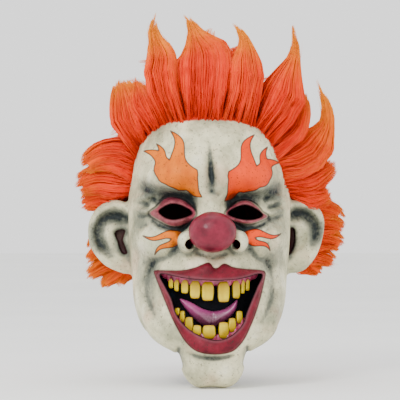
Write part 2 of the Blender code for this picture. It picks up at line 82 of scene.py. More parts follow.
# ---------------------------------------------------------------- the head's loft, as in the CAD
# Each station: its front (y, z), its side (x, y, z), its back (y, z), how square it is and how its
# front dips
STATIONS = (
    ((2, 16), (0, 2, 16), (2, 16), 2.0, 2.0),
    ((-45, 2), (43, 3, 2), (50, 2), 2.0, 2.0),
    ((-78, -28), (69, 3, -30), (82, -29), 2.1, 2.0),
    ((-93, -72), (81, 2, -72), (97, -68), 2.2, 2.0),
    ((-96, -112), (84, 0, -110), (96, -103), 2.2, 2.0),
    ((-104, -150), (83, -3, -148), (88, -134), 2.2, 2.0),
    ((-116, -186), (79, -7, -182), (80, -160), 2.2, 2.2),
    ((-117, -222), (75, -10, -208), (74, -178), 2.2, 3.0),
    ((-120, -252), (68, -12, -229), (69, -191), 2.2, 5.0),
    ((-108, -274), (60, -13, -238), (66, -197), 2.2, 6.0),
    ((-86, -268), (58, -12, -236), (65, -199), 2.1, 5.0),
    ((-72, -250), (56, -12, -230), (64, -201), 2.0, 1.0),
)
RIM_LEVEL = len(STATIONS) - 1
MIRRORED_AT_CROWN = (0, 2, 5)     # the columns that change sign over the crown


def station_row(level):
    """The loft's numbers at a level, on a Catmull-Rom curve through the stations."""
    i = min(int(level), RIM_LEVEL - 1)
    f = level - i
    flat = [
        (s[0][0], s[0][1], s[1][0], s[1][1], s[1][2], s[2][0], s[2][1], s[3], s[4]) for s in STATIONS
    ]
    row = []
    for k in range(9):
        a, b = flat[i][k], flat[i + 1][k]
        if i:
            p = flat[i - 1][k]
        else:
            p = 2 * a - b if k in MIRRORED_AT_CROWN else b
        n = flat[i + 2][k] if i + 2 <= RIM_LEVEL else 2 * b - a
        slope_a, slope_b = (b - p) / 2, (n - a) / 2
        row.append(
            a * (2 * f**3 - 3 * f**2 + 1) + slope_a * (f**3 - 2 * f**2 + f)
            + b * (3 * f**2 - 2 * f**3) + slope_b * (f**3 - f**2)
        )
    return row


def loft_ring(level, turns):
    """Points of the loft at a level, for an array of turns in degrees (0 front, 90 at +X)."""
    front_y, front_z, side_x, side_y, side_z, back_y, back_z, square, dip = station_row(level)
    angle = np.radians(turns)
    ahead = np.cos(angle) > 0
    along, across = np.abs(np.cos(angle)), np.sin(angle)
    end_y = np.where(ahead, front_y, back_y)
    end_z = np.where(ahead, front_z, back_z)
    fall = np.where(ahead, dip, min(dip, 2.0))
    x = side_x * np.sign(across) * np.abs(across) ** (2 / square)
    y = side_y + (end_y - side_y) * along ** (2 / square)
    z = side_z + (end_z - side_z) * along**fall
    return np.stack([x, y, z], 1)


def skin_point(level, turn, offset=0.0):
    """A point on the loft, or that far outside it, as a Vector in mm."""
    point = Vector(loft_ring(level, np.array([turn]))[0])
    low, high = max(level - 0.04, 0.02), min(level + 0.04, RIM_LEVEL)
    ends = [loft_ring(high, np.array([turn]))[0] - loft_ring(low, np.array([turn]))[0]]
    pair = loft_ring(max(level, 0.02), np.array([turn - 2.0, turn + 2.0]))
    ends.append(pair[1] - pair[0])
    return point + Vector(ends[0]).cross(Vector(ends[1])).normalized() * offset


# ---------------------------------------------------------------- curves and distances in a plane
def smooth_curve(points, closed=False, per=6):
    """A Catmull-Rom curve through the points, as an array."""
    p = np.array(points, float)
    count = len(p)
    out = []
    for i in range(count if closed else count - 1):
        if closed:
            a, b, c, d = p[i - 1], p[i], p[(i + 1) % count], p[(i + 2) % count]
        else:
            a, b, c, d = p[max(i - 1, 0)], p[i], p[i + 1], p[min(i + 2, count - 1)]
        for f in np.arange(per) / per:
            out.append(
                0.5 * (2 * b + (c - a) * f + (2 * a - 5 * b + 4 * c - d) * f**2
                       + (3 * b - a - 3 * c + d) * f**3)
            )
    if not closed:
        out.append(p[-1])
    return np.array(out)


def line_distance(x, z, line, closed=False):
    """Distance to a polyline, and how far along it the nearest point lies, from 0 to 1."""
    best = np.full(np.shape(x), 1e9, np.float32)
    share = np.zeros(np.shape(x), np.float32)
    count = len(line) if closed else len(line) - 1
    for i in range(count):
        a, b = line[i], line[(i + 1) % len(line)]
        d = b - a
        t = np.clip(((x - a[0]) * d[0] + (z - a[1]) * d[1]) / max(float(d @ d), 1e-9), 0, 1)
        gap = np.hypot(x - a[0] - t * d[0], z - a[1] - t * d[1])
        near = gap < best
        best = np.where(near, gap, best)
        share = np.where(near, (i + t) / count, share)
    return best, share


def shape_distance(x, z, line):
    """Signed distance to a closed outline: negative inside."""
    gap, _ = line_distance(x, z, line, True)
    inside = np.zeros(np.shape(x), bool)
    for i in range(len(line)):
        a, b = line[i - 1], line[i]
        crosses = (a[1] > z) != (b[1] > z)
        at = a[0] + (z - a[1]) / np.where(b[1] == a[1], 1e-9, b[1] - a[1]) * (b[0] - a[0])
        inside ^= crosses & (x < at)
    return np.where(inside, -gap, gap)


def lick(base, tip, wide, wave):
    """A lick of flame as a closed outline: a round base, a waving middle and a sharp tip."""
    base, tip = np.array(base, float), np.array(tip, float)
    ahead = (tip - base) / np.linalg.norm(tip - base)
    side = np.array((-ahead[1], ahead[0]))
    t = np.linspace(0, 1, 15)[:, None]
    middle = base + t * (tip - base) + side * wave * np.sin(2 * np.pi * t)
    half = side * wide / 2 * (1 - t) ** 0.85
    turn = np.linspace(0, np.pi, 9)[1:-1, None]
    heel = base - wide / 2 * (np.sin(turn) * ahead + np.cos(turn) * side)
    return np.vstack((middle + half, (middle - half)[-2::-1], heel))


# ---------------------------------------------------------------- outlines on the face: (x, z) in mm
EYE_LEFT = ((-52.5, -111.5), (-46, -106.4), (-38.5, -104.2), (-28, -106.6), (-19.5, -113),
            (-28, -117.4), (-38.5, -119.3), (-47, -117))
EYE_RIGHT = ((16.5, -113), (26, -107), (35.5, -105.4), (45, -109.2), (51.5, -115.2),
             (43.5, -119), (32, -119.4), (21.5, -116.6))
RIM_LEFT = ((-62, -113.5), (-54.5, -107), (-48, -99.8), (-39.5, -97), (-28.5, -100),
            (-19.5, -107), (-16, -113.5), (-19.5, -119.5), (-27, -124.4), (-39, -126.2),
            (-51, -121.2))
RIM_RIGHT = ((13.5, -113.5), (20, -107), (29.5, -101), (39, -101), (47, -107), (51.5, -112.5),
             (57, -116.5), (48, -121), (37.5, -123.6), (26, -122.4), (17.5, -118.6))
MOUTH_HOLE = ((-51, -174), (-30, -177.5), (-10, -179.5), (8, -180), (28, -178.5), (49.5, -174),
              (45, -186), (39.2, -199), (34, -211), (30.5, -221.5), (23.5, -230), (14, -236),
              (2.5, -238), (-9.5, -235), (-21, -229), (-30.5, -220.5), (-36.5, -211),
              (-40.3, -198), (-47, -185))
LIPS = ((-56.8, -171), (-45, -170.5), (-29, -170), (-16.5, -167), (-4, -162.2), (1.2, -167.2),
        (5.2, -167.6), (12, -163.3), (21.3, -167), (34, -169), (46, -170), (53.8, -172.5),
        (52, -183), (48.5, -197), (43.8, -211), (38, -225), (31, -239), (21.3, -248.6),
        (9.5, -251.8), (-4.7, -251.8), (-16.5, -248.8), (-26.5, -240.4), (-34.5, -227.5),
        (-40.5, -215.5), (-46.5, -201), (-52.5, -186), (-56.3, -176))

# Painted flames over the brows and forked ones under the eyes. Each is a few licks that run
# together: base, tip, width at the base and how far the lick waves from side to side
FLAME_LEFT = (
    ((-30, -77), (-68, -50), 27, 4), ((-26, -74), (-41, -30), 24, 4.5),
    ((-46, -75), (-55, -43), 17, 3), ((-26, -80), (-10, -97), 21, 1.5),
)
FLAME_RIGHT = (
    ((32, -79), (71, -62), 27, -4), ((28, -76), (44, -34), 24, -4.5),
    ((50, -78), (58, -46), 18, -3), ((28, -82), (13, -101), 20, -1.5),
)
FORK_LEFT = (((-33, -137), (-69, -136), 10, -2.5), ((-34, -136), (-57, -155), 10, 2.5))
FORK_RIGHT = (((36, -136), (71, -134), 10, 2.5), ((37, -136), (59, -151), 10, -2.5))

# The nostrils' wings and the nostrils themselves: x and z
WINGS = ((-25.2, -141.5), (26.6, -141))
NOSTRILS = ((-21.5, -144), (22, -144.5))

# Ears: outline, the groove inside the rim, the inner ridge and the slot into the head
EAR_LEFT = {
    "outline": ((-70, -106), (-84, -103), (-98, -99.6), (-111, -104), (-121, -114), (-126, -129),
                (-123.4, -149), (-110, -166.5), (-94, -174.6), (-82, -176.5), (-70, -172)),
    "groove": ((-82, -126), (-88.5, -119.5), (-98, -116.5), (-109, -119.5), (-115.2, -129),
               (-115, -140.5), (-108.5, -151.5), (-96, -160.5)),
    "ridge": ((-85.5, -127), (-97.5, -127.4), (-105, -134.5), (-104.6, -145), (-98, -155.5),
              (-90, -160)),
    "slot": ((-87, -131.5), (-93.5, -131), (-98, -134.5), (-95, -143), (-92.5, -151.5),
             (-89.5, -156), (-85, -155), (-87.5, -147), (-89.3, -141)),
}
EAR_RIGHT = {
    "outline": ((70, -104), (84.5, -100), (96, -99.4), (107.6, -103), (116.4, -110), (120.6, -120),
                (120.8, -130), (118.4, -143), (113.4, -156), (106.5, -166), (98, -173.5),
                (85, -176), (70, -172)),
    "groove": ((81, -121), (88.5, -114.8), (97.5, -114.6), (106, -119.6), (111.4, -129),
               (111, -140.5), (104.4, -151.5)),
    "ridge": ((84, -125), (94.5, -126), (102.4, -132), (102.8, -142), (97.4, -151.4),
              (90.5, -155.5)),
    "slot": ((84.5, -129), (88.8, -130.5), (89.6, -138), (89.2, -145.5), (86.4, -153),
             (82.6, -157.2), (79.6, -154), (81.8, -147), (84, -140)),
}

# Swellings of the face: x, z, half-width, half-height, tilt in degrees and forward push
SWELLINGS = (
    (-41, -74, 28, 15, 10, 13), (42, -74, 28, 15, -10, 13),            # brows
    (-37, -101, 23, 9, 4, -11), (35, -102, 23, 9, -4, -11),            # hollows over the eyes
    (-38, -114, 17, 10, 0, 6), (35, -114, 17, 10, 0, 6),               # eyeballs' bulge
    (-10, -74, 8, 24, -6, 8), (9, -74, 8, 24, 6, 8),                   # frown
    (-20, -106, 6, 13, 0, -7), (19.5, -106, 6, 13, 0, -7),             # sides of the nose bridge
    (-68, -97, 9, 4, 14, 3.5), (-67, -112, 9, 3.6, -4, 3.5),           # folds at the outer corners
    (69, -98, 9, 4, -16, 3.5), (67, -112, 9, 3.6, 8, 3.5),
    (-62, -84, 10, 4.5, -38, 3), (64, -88, 10, 4.5, 34, 3),
    (0, -100, 10.5, 20, 0, 12),                                        # nose bridge
    (0, -124, 16, 16, 0, 10),                                          # under the ball nose
    (-53, -139, 21, 15, 8, 12), (53, -138, 21, 15, -8, 12),            # ball cheeks
    (0, -159, 40, 9, 0, 4),                                            # upper lip's muzzle
    (-2, -200, 56, 46, 0, 5),                                          # the mouth as a whole
    (-70, -196, 13, 34, 0, 5), (66, -196, 13, 34, 0, 5),               # jowls
    (-78, -84, 14, 16, 0, -3.5), (76, -84, 14, 16, 0, -3.5),           # temples
    (0, -44, 40, 20, 0, 2.5),                                          # forehead
    (0, -247, 24, 9, 0, 3),                                            # under the lower lip
    (-60, -168, 7, 16, 6, -2), (58, -166, 7, 16, -6, -2),              # beside the mouth's corners
)

# Dark patches, partly the mask's airbrushing and partly painted shade and shadow (under the brows,
# under the nose, beside the nostrils' wings and under the lower lip): x, z, half-width, half-height,
# tilt in degrees and darkness
SHADES = (
    (-47, -93, 25, 7, -8, 0.5), (45, -94, 25, 7, 8, 0.5),
    (-64, -88, 13, 5, -40, 0.3), (66, -90, 13, 5, 40, 0.3),
    (-21, -107, 5, 13, 6, 0.8), (19, -108, 4.6, 12, -6, 0.75),
    (-0.5, -83, 6.5, 13, 0, 0.42), (-1.5, -66, 5, 16, 0, 0.2),
    (-69, -104, 11, 18, 0, 0.30), (69, -106, 11, 18, 0, 0.30),
    (-40, -127, 22, 4.5, 0, 0.38), (38, -126, 22, 4.5, 0, 0.38),
    (-36, -146, 5, 8, 10, 0.5), (38, -146, 5, 8, -10, 0.45),
    (-60, -165, 9, 17, 18, 0.36), (58, -163, 9, 17, -18, 0.34),
    (-63, -188, 7, 22, 0, 0.30), (60, -188, 7, 22, 0, 0.26),
    (-74, -152, 8, 22, 0, 0.2), (73, -152, 8, 22, 0, 0.2),
    (-54, -218, 10, 24, 26, 0.2), (50, -220, 10, 24, -26, 0.2),
    (0, -155, 22, 3.6, 0, 0.32), (-21, -147, 6, 6, 0, 0.5), (22, -147, 6, 6, 0, 0.5),
    (0, -254.5, 20, 3.4, 0, 0.28), (-31, -259, 4, 12, 8, 0.25), (32, -258, 4, 12, -8, 0.25),
    (-79, -120, 5, 26, 0, 0.25), (78, -120, 5, 26, 0, 0.25),
)

# Creases: points, half-width, depth and how dark they are painted, which is the mask's airbrushing
# together with painted shade in the groove
CREASES = (
    (((-1.5, -38), (-2.4, -54), (-1, -70), (0.5, -82), (-1.5, -90), (-6, -95)), 4.2, 3.2, 0.14),
    (((-1.5, -90), (3, -94), (9, -96)), 2.0, 2.2, 0.2),
    # under the brows
    (((-70, -74), (-64, -84), (-54, -91), (-41, -93.5), (-29, -95), (-20, -101)), 4.8, 4.6, 0.34),
    (((69, -80), (60, -90), (49, -94.5), (37, -94.5), (26, -97), (18, -104)), 4.8, 4.6, 0.34),
    # folds outside the eyes
    (((-74, -84), (-67, -89), (-61, -96), (-54, -103)), 4.0, 3.4, 0.22),
    (((-76, -101), (-69, -103), (-61, -107)), 3.4, 2.6, 0.14),
    (((-76, -116), (-69, -116), (-60, -114.5)), 3.6, 3.2, 0.2),
    (((-73, -130), (-66, -125), (-57, -121.5)), 2.8, 2.2, 0.12),
    (((74, -80), (68, -90), (60, -97), (52, -100)), 4.0, 3.4, 0.22),
    (((76, -97), (70, -103), (63, -107), (56, -107.5)), 3.4, 3.0, 0.18),
    (((77, -112), (70, -116.5), (63, -118.5), (56, -117)), 3.6, 3.2, 0.2),
    (((72, -127), (65, -123.5), (57, -120.5)), 2.8, 2.0, 0.12),
    # bags under the eyes
    (((-62, -117), (-53, -125.5), (-41, -129.5), (-29, -128.4), (-18, -120)), 2.0, 3.4, 0.6),
    (((-68, -124), (-56, -132), (-44, -135), (-30, -134)), 2.4, 1.8, 0.12),
    (((60, -118.5), (51, -125.5), (39, -128.5), (27, -127), (17, -119)), 2.0, 3.4, 0.6),
    (((67, -124), (54, -131.5), (42, -134), (30, -132)), 2.4, 1.8, 0.12),
    # beside the nose
    (((-18, -102), (-21, -116), (-29, -129), (-35, -139)), 3.0, 3.4, 0.34),
    (((17, -103), (21, -116), (30, -129), (36.5, -139)), 3.0, 3.4, 0.34),
    # from the nostrils round the mouth
    (((-35, -136), (-37, -147), (-44, -157), (-55, -161), (-62, -170), (-65, -184), (-64, -198),
      (-59, -212), (-51, -226)), 4.8, 4.0, 0.16),
    (((37, -136), (39, -148), (46, -158), (55, -162), (60.5, -172), (62, -186), (60, -200),
      (54, -214), (47, -226)), 4.8, 4.0, 0.14),
    (((-72, -146), (-77, -166), (-76, -188)), 5.0, 2.6, 0.1),
    (((72, -146), (75, -166), (73, -188)), 5.0, 2.6, 0.1),
    # under the nose and over the chin
    (((-17, -153), (0, -156.5), (17, -153.5)), 3.0, 2.4, 0.16),
    (((0, -157), (1.2, -165)), 3.0, 1.6, 0.08),
    (((-26, -251), (-10, -256), (8, -256.5), (24, -252.5)), 3.2, 3.6, 0.16),
    (((-33, -244), (-33, -256), (-29, -268)), 3.0, 2.4, 0.14),
    (((35, -243), (35, -254), (31, -266)), 3.0, 2.4, 0.14),
)


def tilted_bell(x, z, wide, high, tilt, power=1.0):
    """A bell of height 1 over an ellipse that is turned by tilt degrees."""
    c, s = math.cos(math.radians(tilt)), math.sin(math.radians(tilt))
    return np.exp(-((((x * c + z * s) / wide) ** 2 + ((z * c - x * s) / high) ** 2) ** power))


def crease_maps(x, z):
    """How deep the creases are at each x, z, and how dark the paint is there: airbrushing and painted
    shade in the creases and the dark patches.
    """
    depth = np.zeros(np.shape(x), np.float32)
    dark = np.zeros(np.shape(x), np.float32)
    for points, half, deep, shade in CREASES:
        line = smooth_curve(points)
        reach = half * 4 + 2
        near = (
            (x > line[:, 0].min() - reach) & (x < line[:, 0].max() + reach)
            & (z > line[:, 1].min() - reach) & (z < line[:, 1].max() + reach)
        )
        gap, share = line_distance(x[near], z[near], line)
        taper = np.clip(np.minimum(share, 1 - share) * 5, 0, 1) ** 0.7
        depth[near] += deep * taper * np.exp(-((gap / (half * (0.45 + 0.55 * taper))) ** 2))
        dark[near] += shade * taper * np.exp(-((gap / (half * 1.5)) ** 2))
    for cx, cz, wide, high, tilt, shade in SHADES:
        dark += shade * tilted_bell(x - cx, z - cz, wide, high, tilt)
    return depth, dark


def face_push(x, z):
    """How far the face stands in front of the loft at each x, z."""
    push = np.zeros(np.shape(x), np.float32)
    for cx, cz, wide, high, tilt, forward in SWELLINGS:
        push += forward * tilted_bell(x - cx, z - cz, wide, high, tilt, 1.3)
    return push


def lip_height(x, z):
    """The lips' rounded swelling between the mouth's hole and their outer edge."""
    outer = -shape_distance(x, z, smooth_curve(LIPS, True, 4))
    inner = shape_distance(x, z, smooth_curve(MOUTH_HOLE, True, 4))
    share = np.clip(outer / np.maximum(outer + np.maximum(inner, 0), 0.5), 0, 1)
    return 5.5 * np.sqrt(np.clip(share * (1.6 - share), 0, 1)) * (outer > 0) * np.clip(outer / 2, 0, 1)


def smooth_min(a, b, k):
    """The union of two fields with a fillet of about k."""
    h = np.clip(0.5 + 0.5 * (b - a) / k, 0, 1)
    return b + (a - b) * h - k * h * (1 - h)


def smooth_max(a, b, k):
    """The intersection of two fields with a fillet of about k."""
    return -smooth_min(-a, -b, k)


def ball(x, y, z, centre, radii):
    """Roughly the signed distance to an ellipsoid."""
    u, v, w = ((x - centre[0]) / radii[0], (y - centre[1]) / radii[1], (z - centre[2]) / radii[2])
    r = np.sqrt(u * u + v * v + w * w)
    g = np.sqrt((u / radii[0]) ** 2 + (v / radii[1]) ** 2 + (w / radii[2]) ** 2)
    return r * (r - 1) / np.maximum(g, 1e-6)


def blurred(field, radius):
    """A box blur along each axis."""
    out = field
    width = 2 * radius + 1
    for axis in range(3):
        pad = [(0, 0)] * 3
        pad[axis] = (radius + 1, radius)
        total = np.cumsum(np.pad(out, pad, mode="edge"), axis=axis, dtype=np.float32)
        size = total.shape[axis]
        out = (
            np.take(total, range(width, size), axis=axis)
            - np.take(total, range(0, size - width), axis=axis)
        ) / width
    return out


def sample(field, points):
    """Trilinear samples of a grid field at points in mm."""
    at = (points - LOW) / VOXEL
    base = np.clip(np.floor(at).astype(int), 0, np.array(field.shape) - 2)
    f = np.clip(at - base, 0, 1)
    total = np.zeros(len(points))
    for dx in (0, 1):
        for dy in (0, 1):
            for dz in (0, 1):
                weight = (
                    (f[:, 0] if dx else 1 - f[:, 0]) * (f[:, 1] if dy else 1 - f[:, 1])
                    * (f[:, 2] if dz else 1 - f[:, 2])
                )
                total += weight * field[base[:, 0] + dx, base[:, 1] + dy, base[:, 2] + dz]
    return total


def loft_field(shape):
    """The signed distance to the loft on the grid."""
    turns = np.arange(0, 360, 2.5)
    levels = np.concatenate([np.arange(0.15, RIM_LEVEL, 0.1), [RIM_LEVEL]])
    rings = [loft_ring(level, turns) for level in levels]
    count = len(turns)
    points = np.concatenate(rings + [[(0, 2, 16)], [rings[-1].mean(0)]])
    quads = []
    for r in range(len(rings) - 1):
        for s in range(count):
            a, b = r * count + s, r * count + (s + 1) % count
            quads.append((a, a + count, b + count, b))
    top, end, last = len(points) - 2, len(points) - 1, (len(rings) - 1) * count
    tris = [(top, s, (s + 1) % count) for s in range(count)]
    tris += [(end, last + (s + 1) % count, last + s) for s in range(count)]
    grid = openvdb.FloatGrid.createLevelSetFromPolygons(
        (points - LOW).astype(np.float32), triangles=np.array(tris, np.uint32),
        quads=np.array(quads, np.uint32), transform=openvdb.createLinearTransform(VOXEL),
        halfWidth=14.0,
    )
    field = np.zeros(shape, np.float32)
    grid.copyToArray(field)
    return field


def ear_middle(x, side):
    """How far back the middle of an ear's plate lies: it cups forward to the head."""
    cup = np.clip((side * x - 84) / 40, -0.4, 1.2)
    return -2 + 12 * cup + 5 * np.clip(cup, 0, 1) ** 2


def ear_field(x, y, z, ear, side):
    """One ear: a cupped plate with a rim, a groove, an inner ridge and a slot."""
    flat_x, flat_z = x[:, 0, :] + 0 * z[:, 0, :], z[:, 0, :] + 0 * x[:, 0, :]
    edge = shape_distance(flat_x, flat_z, smooth_curve(ear["outline"], True, 5))
    groove, run = line_distance(flat_x, flat_z, smooth_curve(ear["groove"]))
    ridge, _ = line_distance(flat_x, flat_z, smooth_curve(ear["ridge"]))
    slot = shape_distance(flat_x, flat_z, smooth_curve(ear["slot"], True, 4))
    ends = np.clip(np.minimum(run, 1 - run) * 6, 0, 1)
    middle = ear_middle(flat_x, side)
    thick = 6.4 + 2.6 * np.exp(-(((edge + 5.5) / 3.6) ** 2))
    carve = 6.2 * ends * np.exp(-((groove / 5.6) ** 2)) - 3.0 * np.exp(-((ridge / 3.2) ** 2))
    carve += 3 * np.clip(-(edge + 11) / 6, 0, 1) + 6 * np.clip(-slot / 1.6 + 0.4, 0, 1)
    front = (middle - thick + carve)[:, None, :] - y
    back = y - (middle + thick * 0.95)[:, None, :]
    return smooth_max(smooth_max(front, back, 4.0), edge[:, None, :], 6.0)


def sculpt():
    """The casting's field on the grid, and the field of its outside alone."""
    shape = tuple(int(n) for n in np.ceil((HIGH - LOW) / VOXEL))
    axes = [LOW[i] + VOXEL * np.arange(shape[i]) for i in range(3)]
    x = axes[0][:, None, None].astype(np.float32)
    y = axes[1][None, :, None].astype(np.float32)
    z = axes[2][None, None, :].astype(np.float32)
    flat_x, flat_z = np.meshgrid(axes[0], axes[2], indexing="ij")
    field = loft_field(shape)
    # the chin's two knobs
    for side in (-1, 1):
        knob = ball(x, y, z, (1 + side * 11.5, -100, -262), (20, 25, 25))
        field = smooth_min(field, knob, 12.0)
    # the jowls beside the chin
    for side in (-1, 1):
        jowl = ball(x, y, z, (side * 35, -84, -226), (27, 26, 20.5))
        field = smooth_min(field, jowl, 16.0)
    # the face in front of the ears
    ahead = np.clip((-18 - y) / 26, 0, 1)
    ahead = ahead * ahead * (3 - 2 * ahead)
    push = face_push(flat_x, flat_z).astype(np.float32)
    creases = crease_maps(flat_x, flat_z)[0][:, None, :] * np.clip((-36 - y) / 22, 0, 1)
    lips = lip_height(flat_x, flat_z).astype(np.float32)
    hole = np.full(flat_x.shape, 50, np.float32)
    for outline in (EYE_LEFT, EYE_RIGHT):
        hole = np.minimum(hole, shape_distance(flat_x, flat_z, smooth_curve(outline, True, 4)))
    rims = 3.4 * np.exp(-(((hole - 2.8) / 2.6) ** 2))
    for outline in (RIM_LEFT, RIM_RIGHT):
        lid = shape_distance(flat_x, flat_z, smooth_curve(outline, True, 4))
        rims -= 2.2 * np.exp(-(((lid - 1.2) / 1.7) ** 2))
    field -= (push + lips + rims)[:, None, :] * ahead - creases
    # the nostrils' wings
    for cx, cz in WINGS:
        wing = ball(x, y, z, (cx, -112, cz), (9.3, 16, 11))
        field = smooth_min(field, wing, 6.0)
    ears = np.minimum(
        ear_field(x, y, z, EAR_LEFT, -1), ear_field(x, y, z, EAR_RIGHT, 1)
    )
    field = smooth_min(field, ears.astype(np.float32), 5.0)
    # steep slopes would come out thin: scale the field to a true distance near its surface
    steep = np.sqrt(sum(slope**2 for slope in np.gradient(field, VOXEL)))
    field /= np.maximum(steep, 1).astype(np.float32)
    outside = field.copy()
    # the nostrils are pits in the outside
    for cx, cz in NOSTRILS:
        pit = ball(x, y, z, (cx, -126, cz), (5.6, 15, 5.4))
        outside = smooth_max(outside, -pit, 2.0)
    shell = smooth_max(outside, -(field + SKIN), 1.0)
    mouth = shape_distance(flat_x, flat_z, smooth_curve(MOUTH_HOLE, True, 4)).astype(np.float32)
    cut = np.minimum(mouth, hole)[:, None, :] + np.where(y < -50, 0, 200)
    shell = smooth_max(shell, -cut, 1.2)
    # the neck and the slit
    neck = ball(x, y, z, (0, -5, -236), (55, 70, 46))
    shell = smooth_max(shell, -neck, 1.5)
    slit = np.maximum(np.abs(x) - 1.4, np.maximum(z + 150, 40 - y))
    shell = np.maximum(shell, -slit)
    return shell.astype(np.float32), outside.astype(np.float32)


def mesh_object(name, points, faces, smooth=True):
    """A mesh object from points in mm and faces."""
    mesh = bpy.data.meshes.new(name)
    mesh.from_pydata((np.asarray(points) * MM).tolist(), [], faces)
    mesh.polygons.foreach_set("use_smooth", [smooth] * len(mesh.polygons))
    mesh.update()
    obj = bpy.data.objects.new(name, mesh)
    bpy.context.scene.collection.objects.link(obj)
    return obj


def store(obj, name, values):
    """A float attribute on the mesh's vertices."""
    layer = obj.data.attributes.new(name, "FLOAT", "POINT")
    layer.data.foreach_set("value", np.asarray(values, np.float32))


def zero_surface(field, step, low):
    """The zero surface of a grid field: points in mm, and quads that face outwards."""
    grid = openvdb.FloatGrid(20.0)
    grid.copyFromArray(field.astype(np.float32))
    points, quads = grid.convertToQuads(0.0)
    return np.asarray(points) * step + np.array(low), np.asarray(quads)[:, ::-1]


def biggest(points, quads):
    """Only the largest connected piece."""
    label = np.arange(len(points))
    while True:
        low = label[quads].min(1)
        new = label.copy()
        for k in range(4):
            np.minimum.at(new, quads[:, k], low)
        new = new[new]
        if (new == label).all():
            break
        label = new
    keep = np.bincount(label).argmax()
    used = label == keep
    index = np.cumsum(used) - 1
    return points[used], index[quads[used[quads[:, 0]]]]


def casting():
    """The latex skin with its paint stored on the vertices."""
    shell, outside = sculpt()
    points, quads = biggest(*zero_surface(shell, VOXEL, LOW))
    obj = mesh_object("latex_casting", points, quads.tolist())
    x, y, z = points[:, 0], points[:, 1], points[:, 2]
    out = sample(outside, points)
    # how far each point lies in a hollow, for the painted shade in the recesses
    hollow = sample(blurred(outside, 4), points) - out
    wide_hollow = sample(blurred(outside, 9), points) - out
    facing = y < -30
    rounded = {
        "lips": (LIPS,), "eyes": (EYE_LEFT, EYE_RIGHT), "mouth": (MOUTH_HOLE,),
        "rims": (RIM_LEFT, RIM_RIGHT),
    }
    shapes = {name: [smooth_curve(line, True, 5) for line in lines]
              for name, lines in rounded.items()}
    shapes["flame_left"] = [lick(*each) for each in FLAME_LEFT + FORK_LEFT]
    shapes["flame_right"] = [lick(*each) for each in FLAME_RIGHT + FORK_RIGHT]
    for name, lines in shapes.items():
        value = np.full(len(points), float(PAINT_REACH))
        for line in lines:
            near = (
                (x > line[:, 0].min() - PAINT_REACH) & (x < line[:, 0].max() + PAINT_REACH)
                & (z > line[:, 1].min() - PAINT_REACH) & (z < line[:, 1].max() + PAINT_REACH)
                & facing
            )
            value[near] = smooth_min(value[near], shape_distance(x[near], z[near], line), 1.6)
        if name.startswith("flame"):
            for cx, cz in WINGS:
                value[ball(x, y, z, (cx, -112, cz), (11.5, 18, 13)) < 0] = PAINT_REACH
        store(obj, name, np.clip(value, -PAINT_REACH, PAINT_REACH))
    slots = np.full(len(points), float(PAINT_REACH))
    ears = ((EAR_LEFT, -1), (EAR_RIGHT, 1))
    for ear, side in ears:
        near = (side * x > 76) & (y > -24) & (y < ear_middle(x, side) + 3.5) & (out > -1.8)
        slots[near] = np.minimum(
            slots[near], shape_distance(x[near], z[near], smooth_curve(ear["slot"], True, 4))
        )
    store(obj, "slots", slots + np.clip((-15 - y) / 2, 0, 6))
    # painted shade together with the airbrushing: the creases and the dark patches, on the face only
    dark = np.zeros(len(points), np.float32)
    dark[facing] = crease_maps(x[facing], z[facing])[1]
    dark *= np.clip((-34 - y) / 24, 0, 1)
    # painted shade in each ear's groove and round its slot
    for ear, side in ears:
        near = (side * x > 78) & (y > -16) & (y < ear_middle(x, side) + 3.5)
        gap, run = line_distance(x[near], z[near], smooth_curve(ear["groove"]))
        ends = np.clip(np.minimum(run, 1 - run) * 5, 0, 1)
        dark[near] = np.maximum(dark[near], 1.35 * ends * np.exp(-((gap / 7.0) ** 2)))
        slot, _ = line_distance(x[near], z[near], smooth_curve(ear["slot"], True, 4), True)
        dark[near] += 0.6 * np.exp(-((slot / 3.6) ** 2))
    store(obj, "dark", dark)
    store(obj, "hollow", hollow)
    store(obj, "wide_hollow", wide_hollow)
    # the inside of the casting is coloured dark crimson, which also stands in for the shade in the
    # head seen through the eye holes
    store(obj, "inside", np.where(out < -2.0, 1.0, 0.0))
    face = shape_distance(x, z, np.array(HAIRLINE, float))
    hairy = np.clip((face - 1.0) / 1.5, 0, 1)
    hairy[z < -118] = 0
    hairy[y > 12] = 1
    hairy[(np.abs(x) > 62) & (z < -96) & (y < 20)] = 0
    hairy[(np.abs(x) > 85) & (z < -96)] = 0
    hairy[(y > 0) & (z < np.where(np.abs(x) > 60, -160, -137))] = 0
    store(obj, "scalp", hairy)
    return obj


# ---------------------------------------------------------------- materials
def colour(code, alpha=1.0):
    """A linear colour from six hexadecimal digits."""
    out = []
    for i in (0, 2, 4):
        c = int(code[i:i + 2], 16) / 255
        out.append(c / 12.92 if c <= 0.04045 else ((c + 0.055) / 1.055) ** 2.4)
    return (*out, alpha)


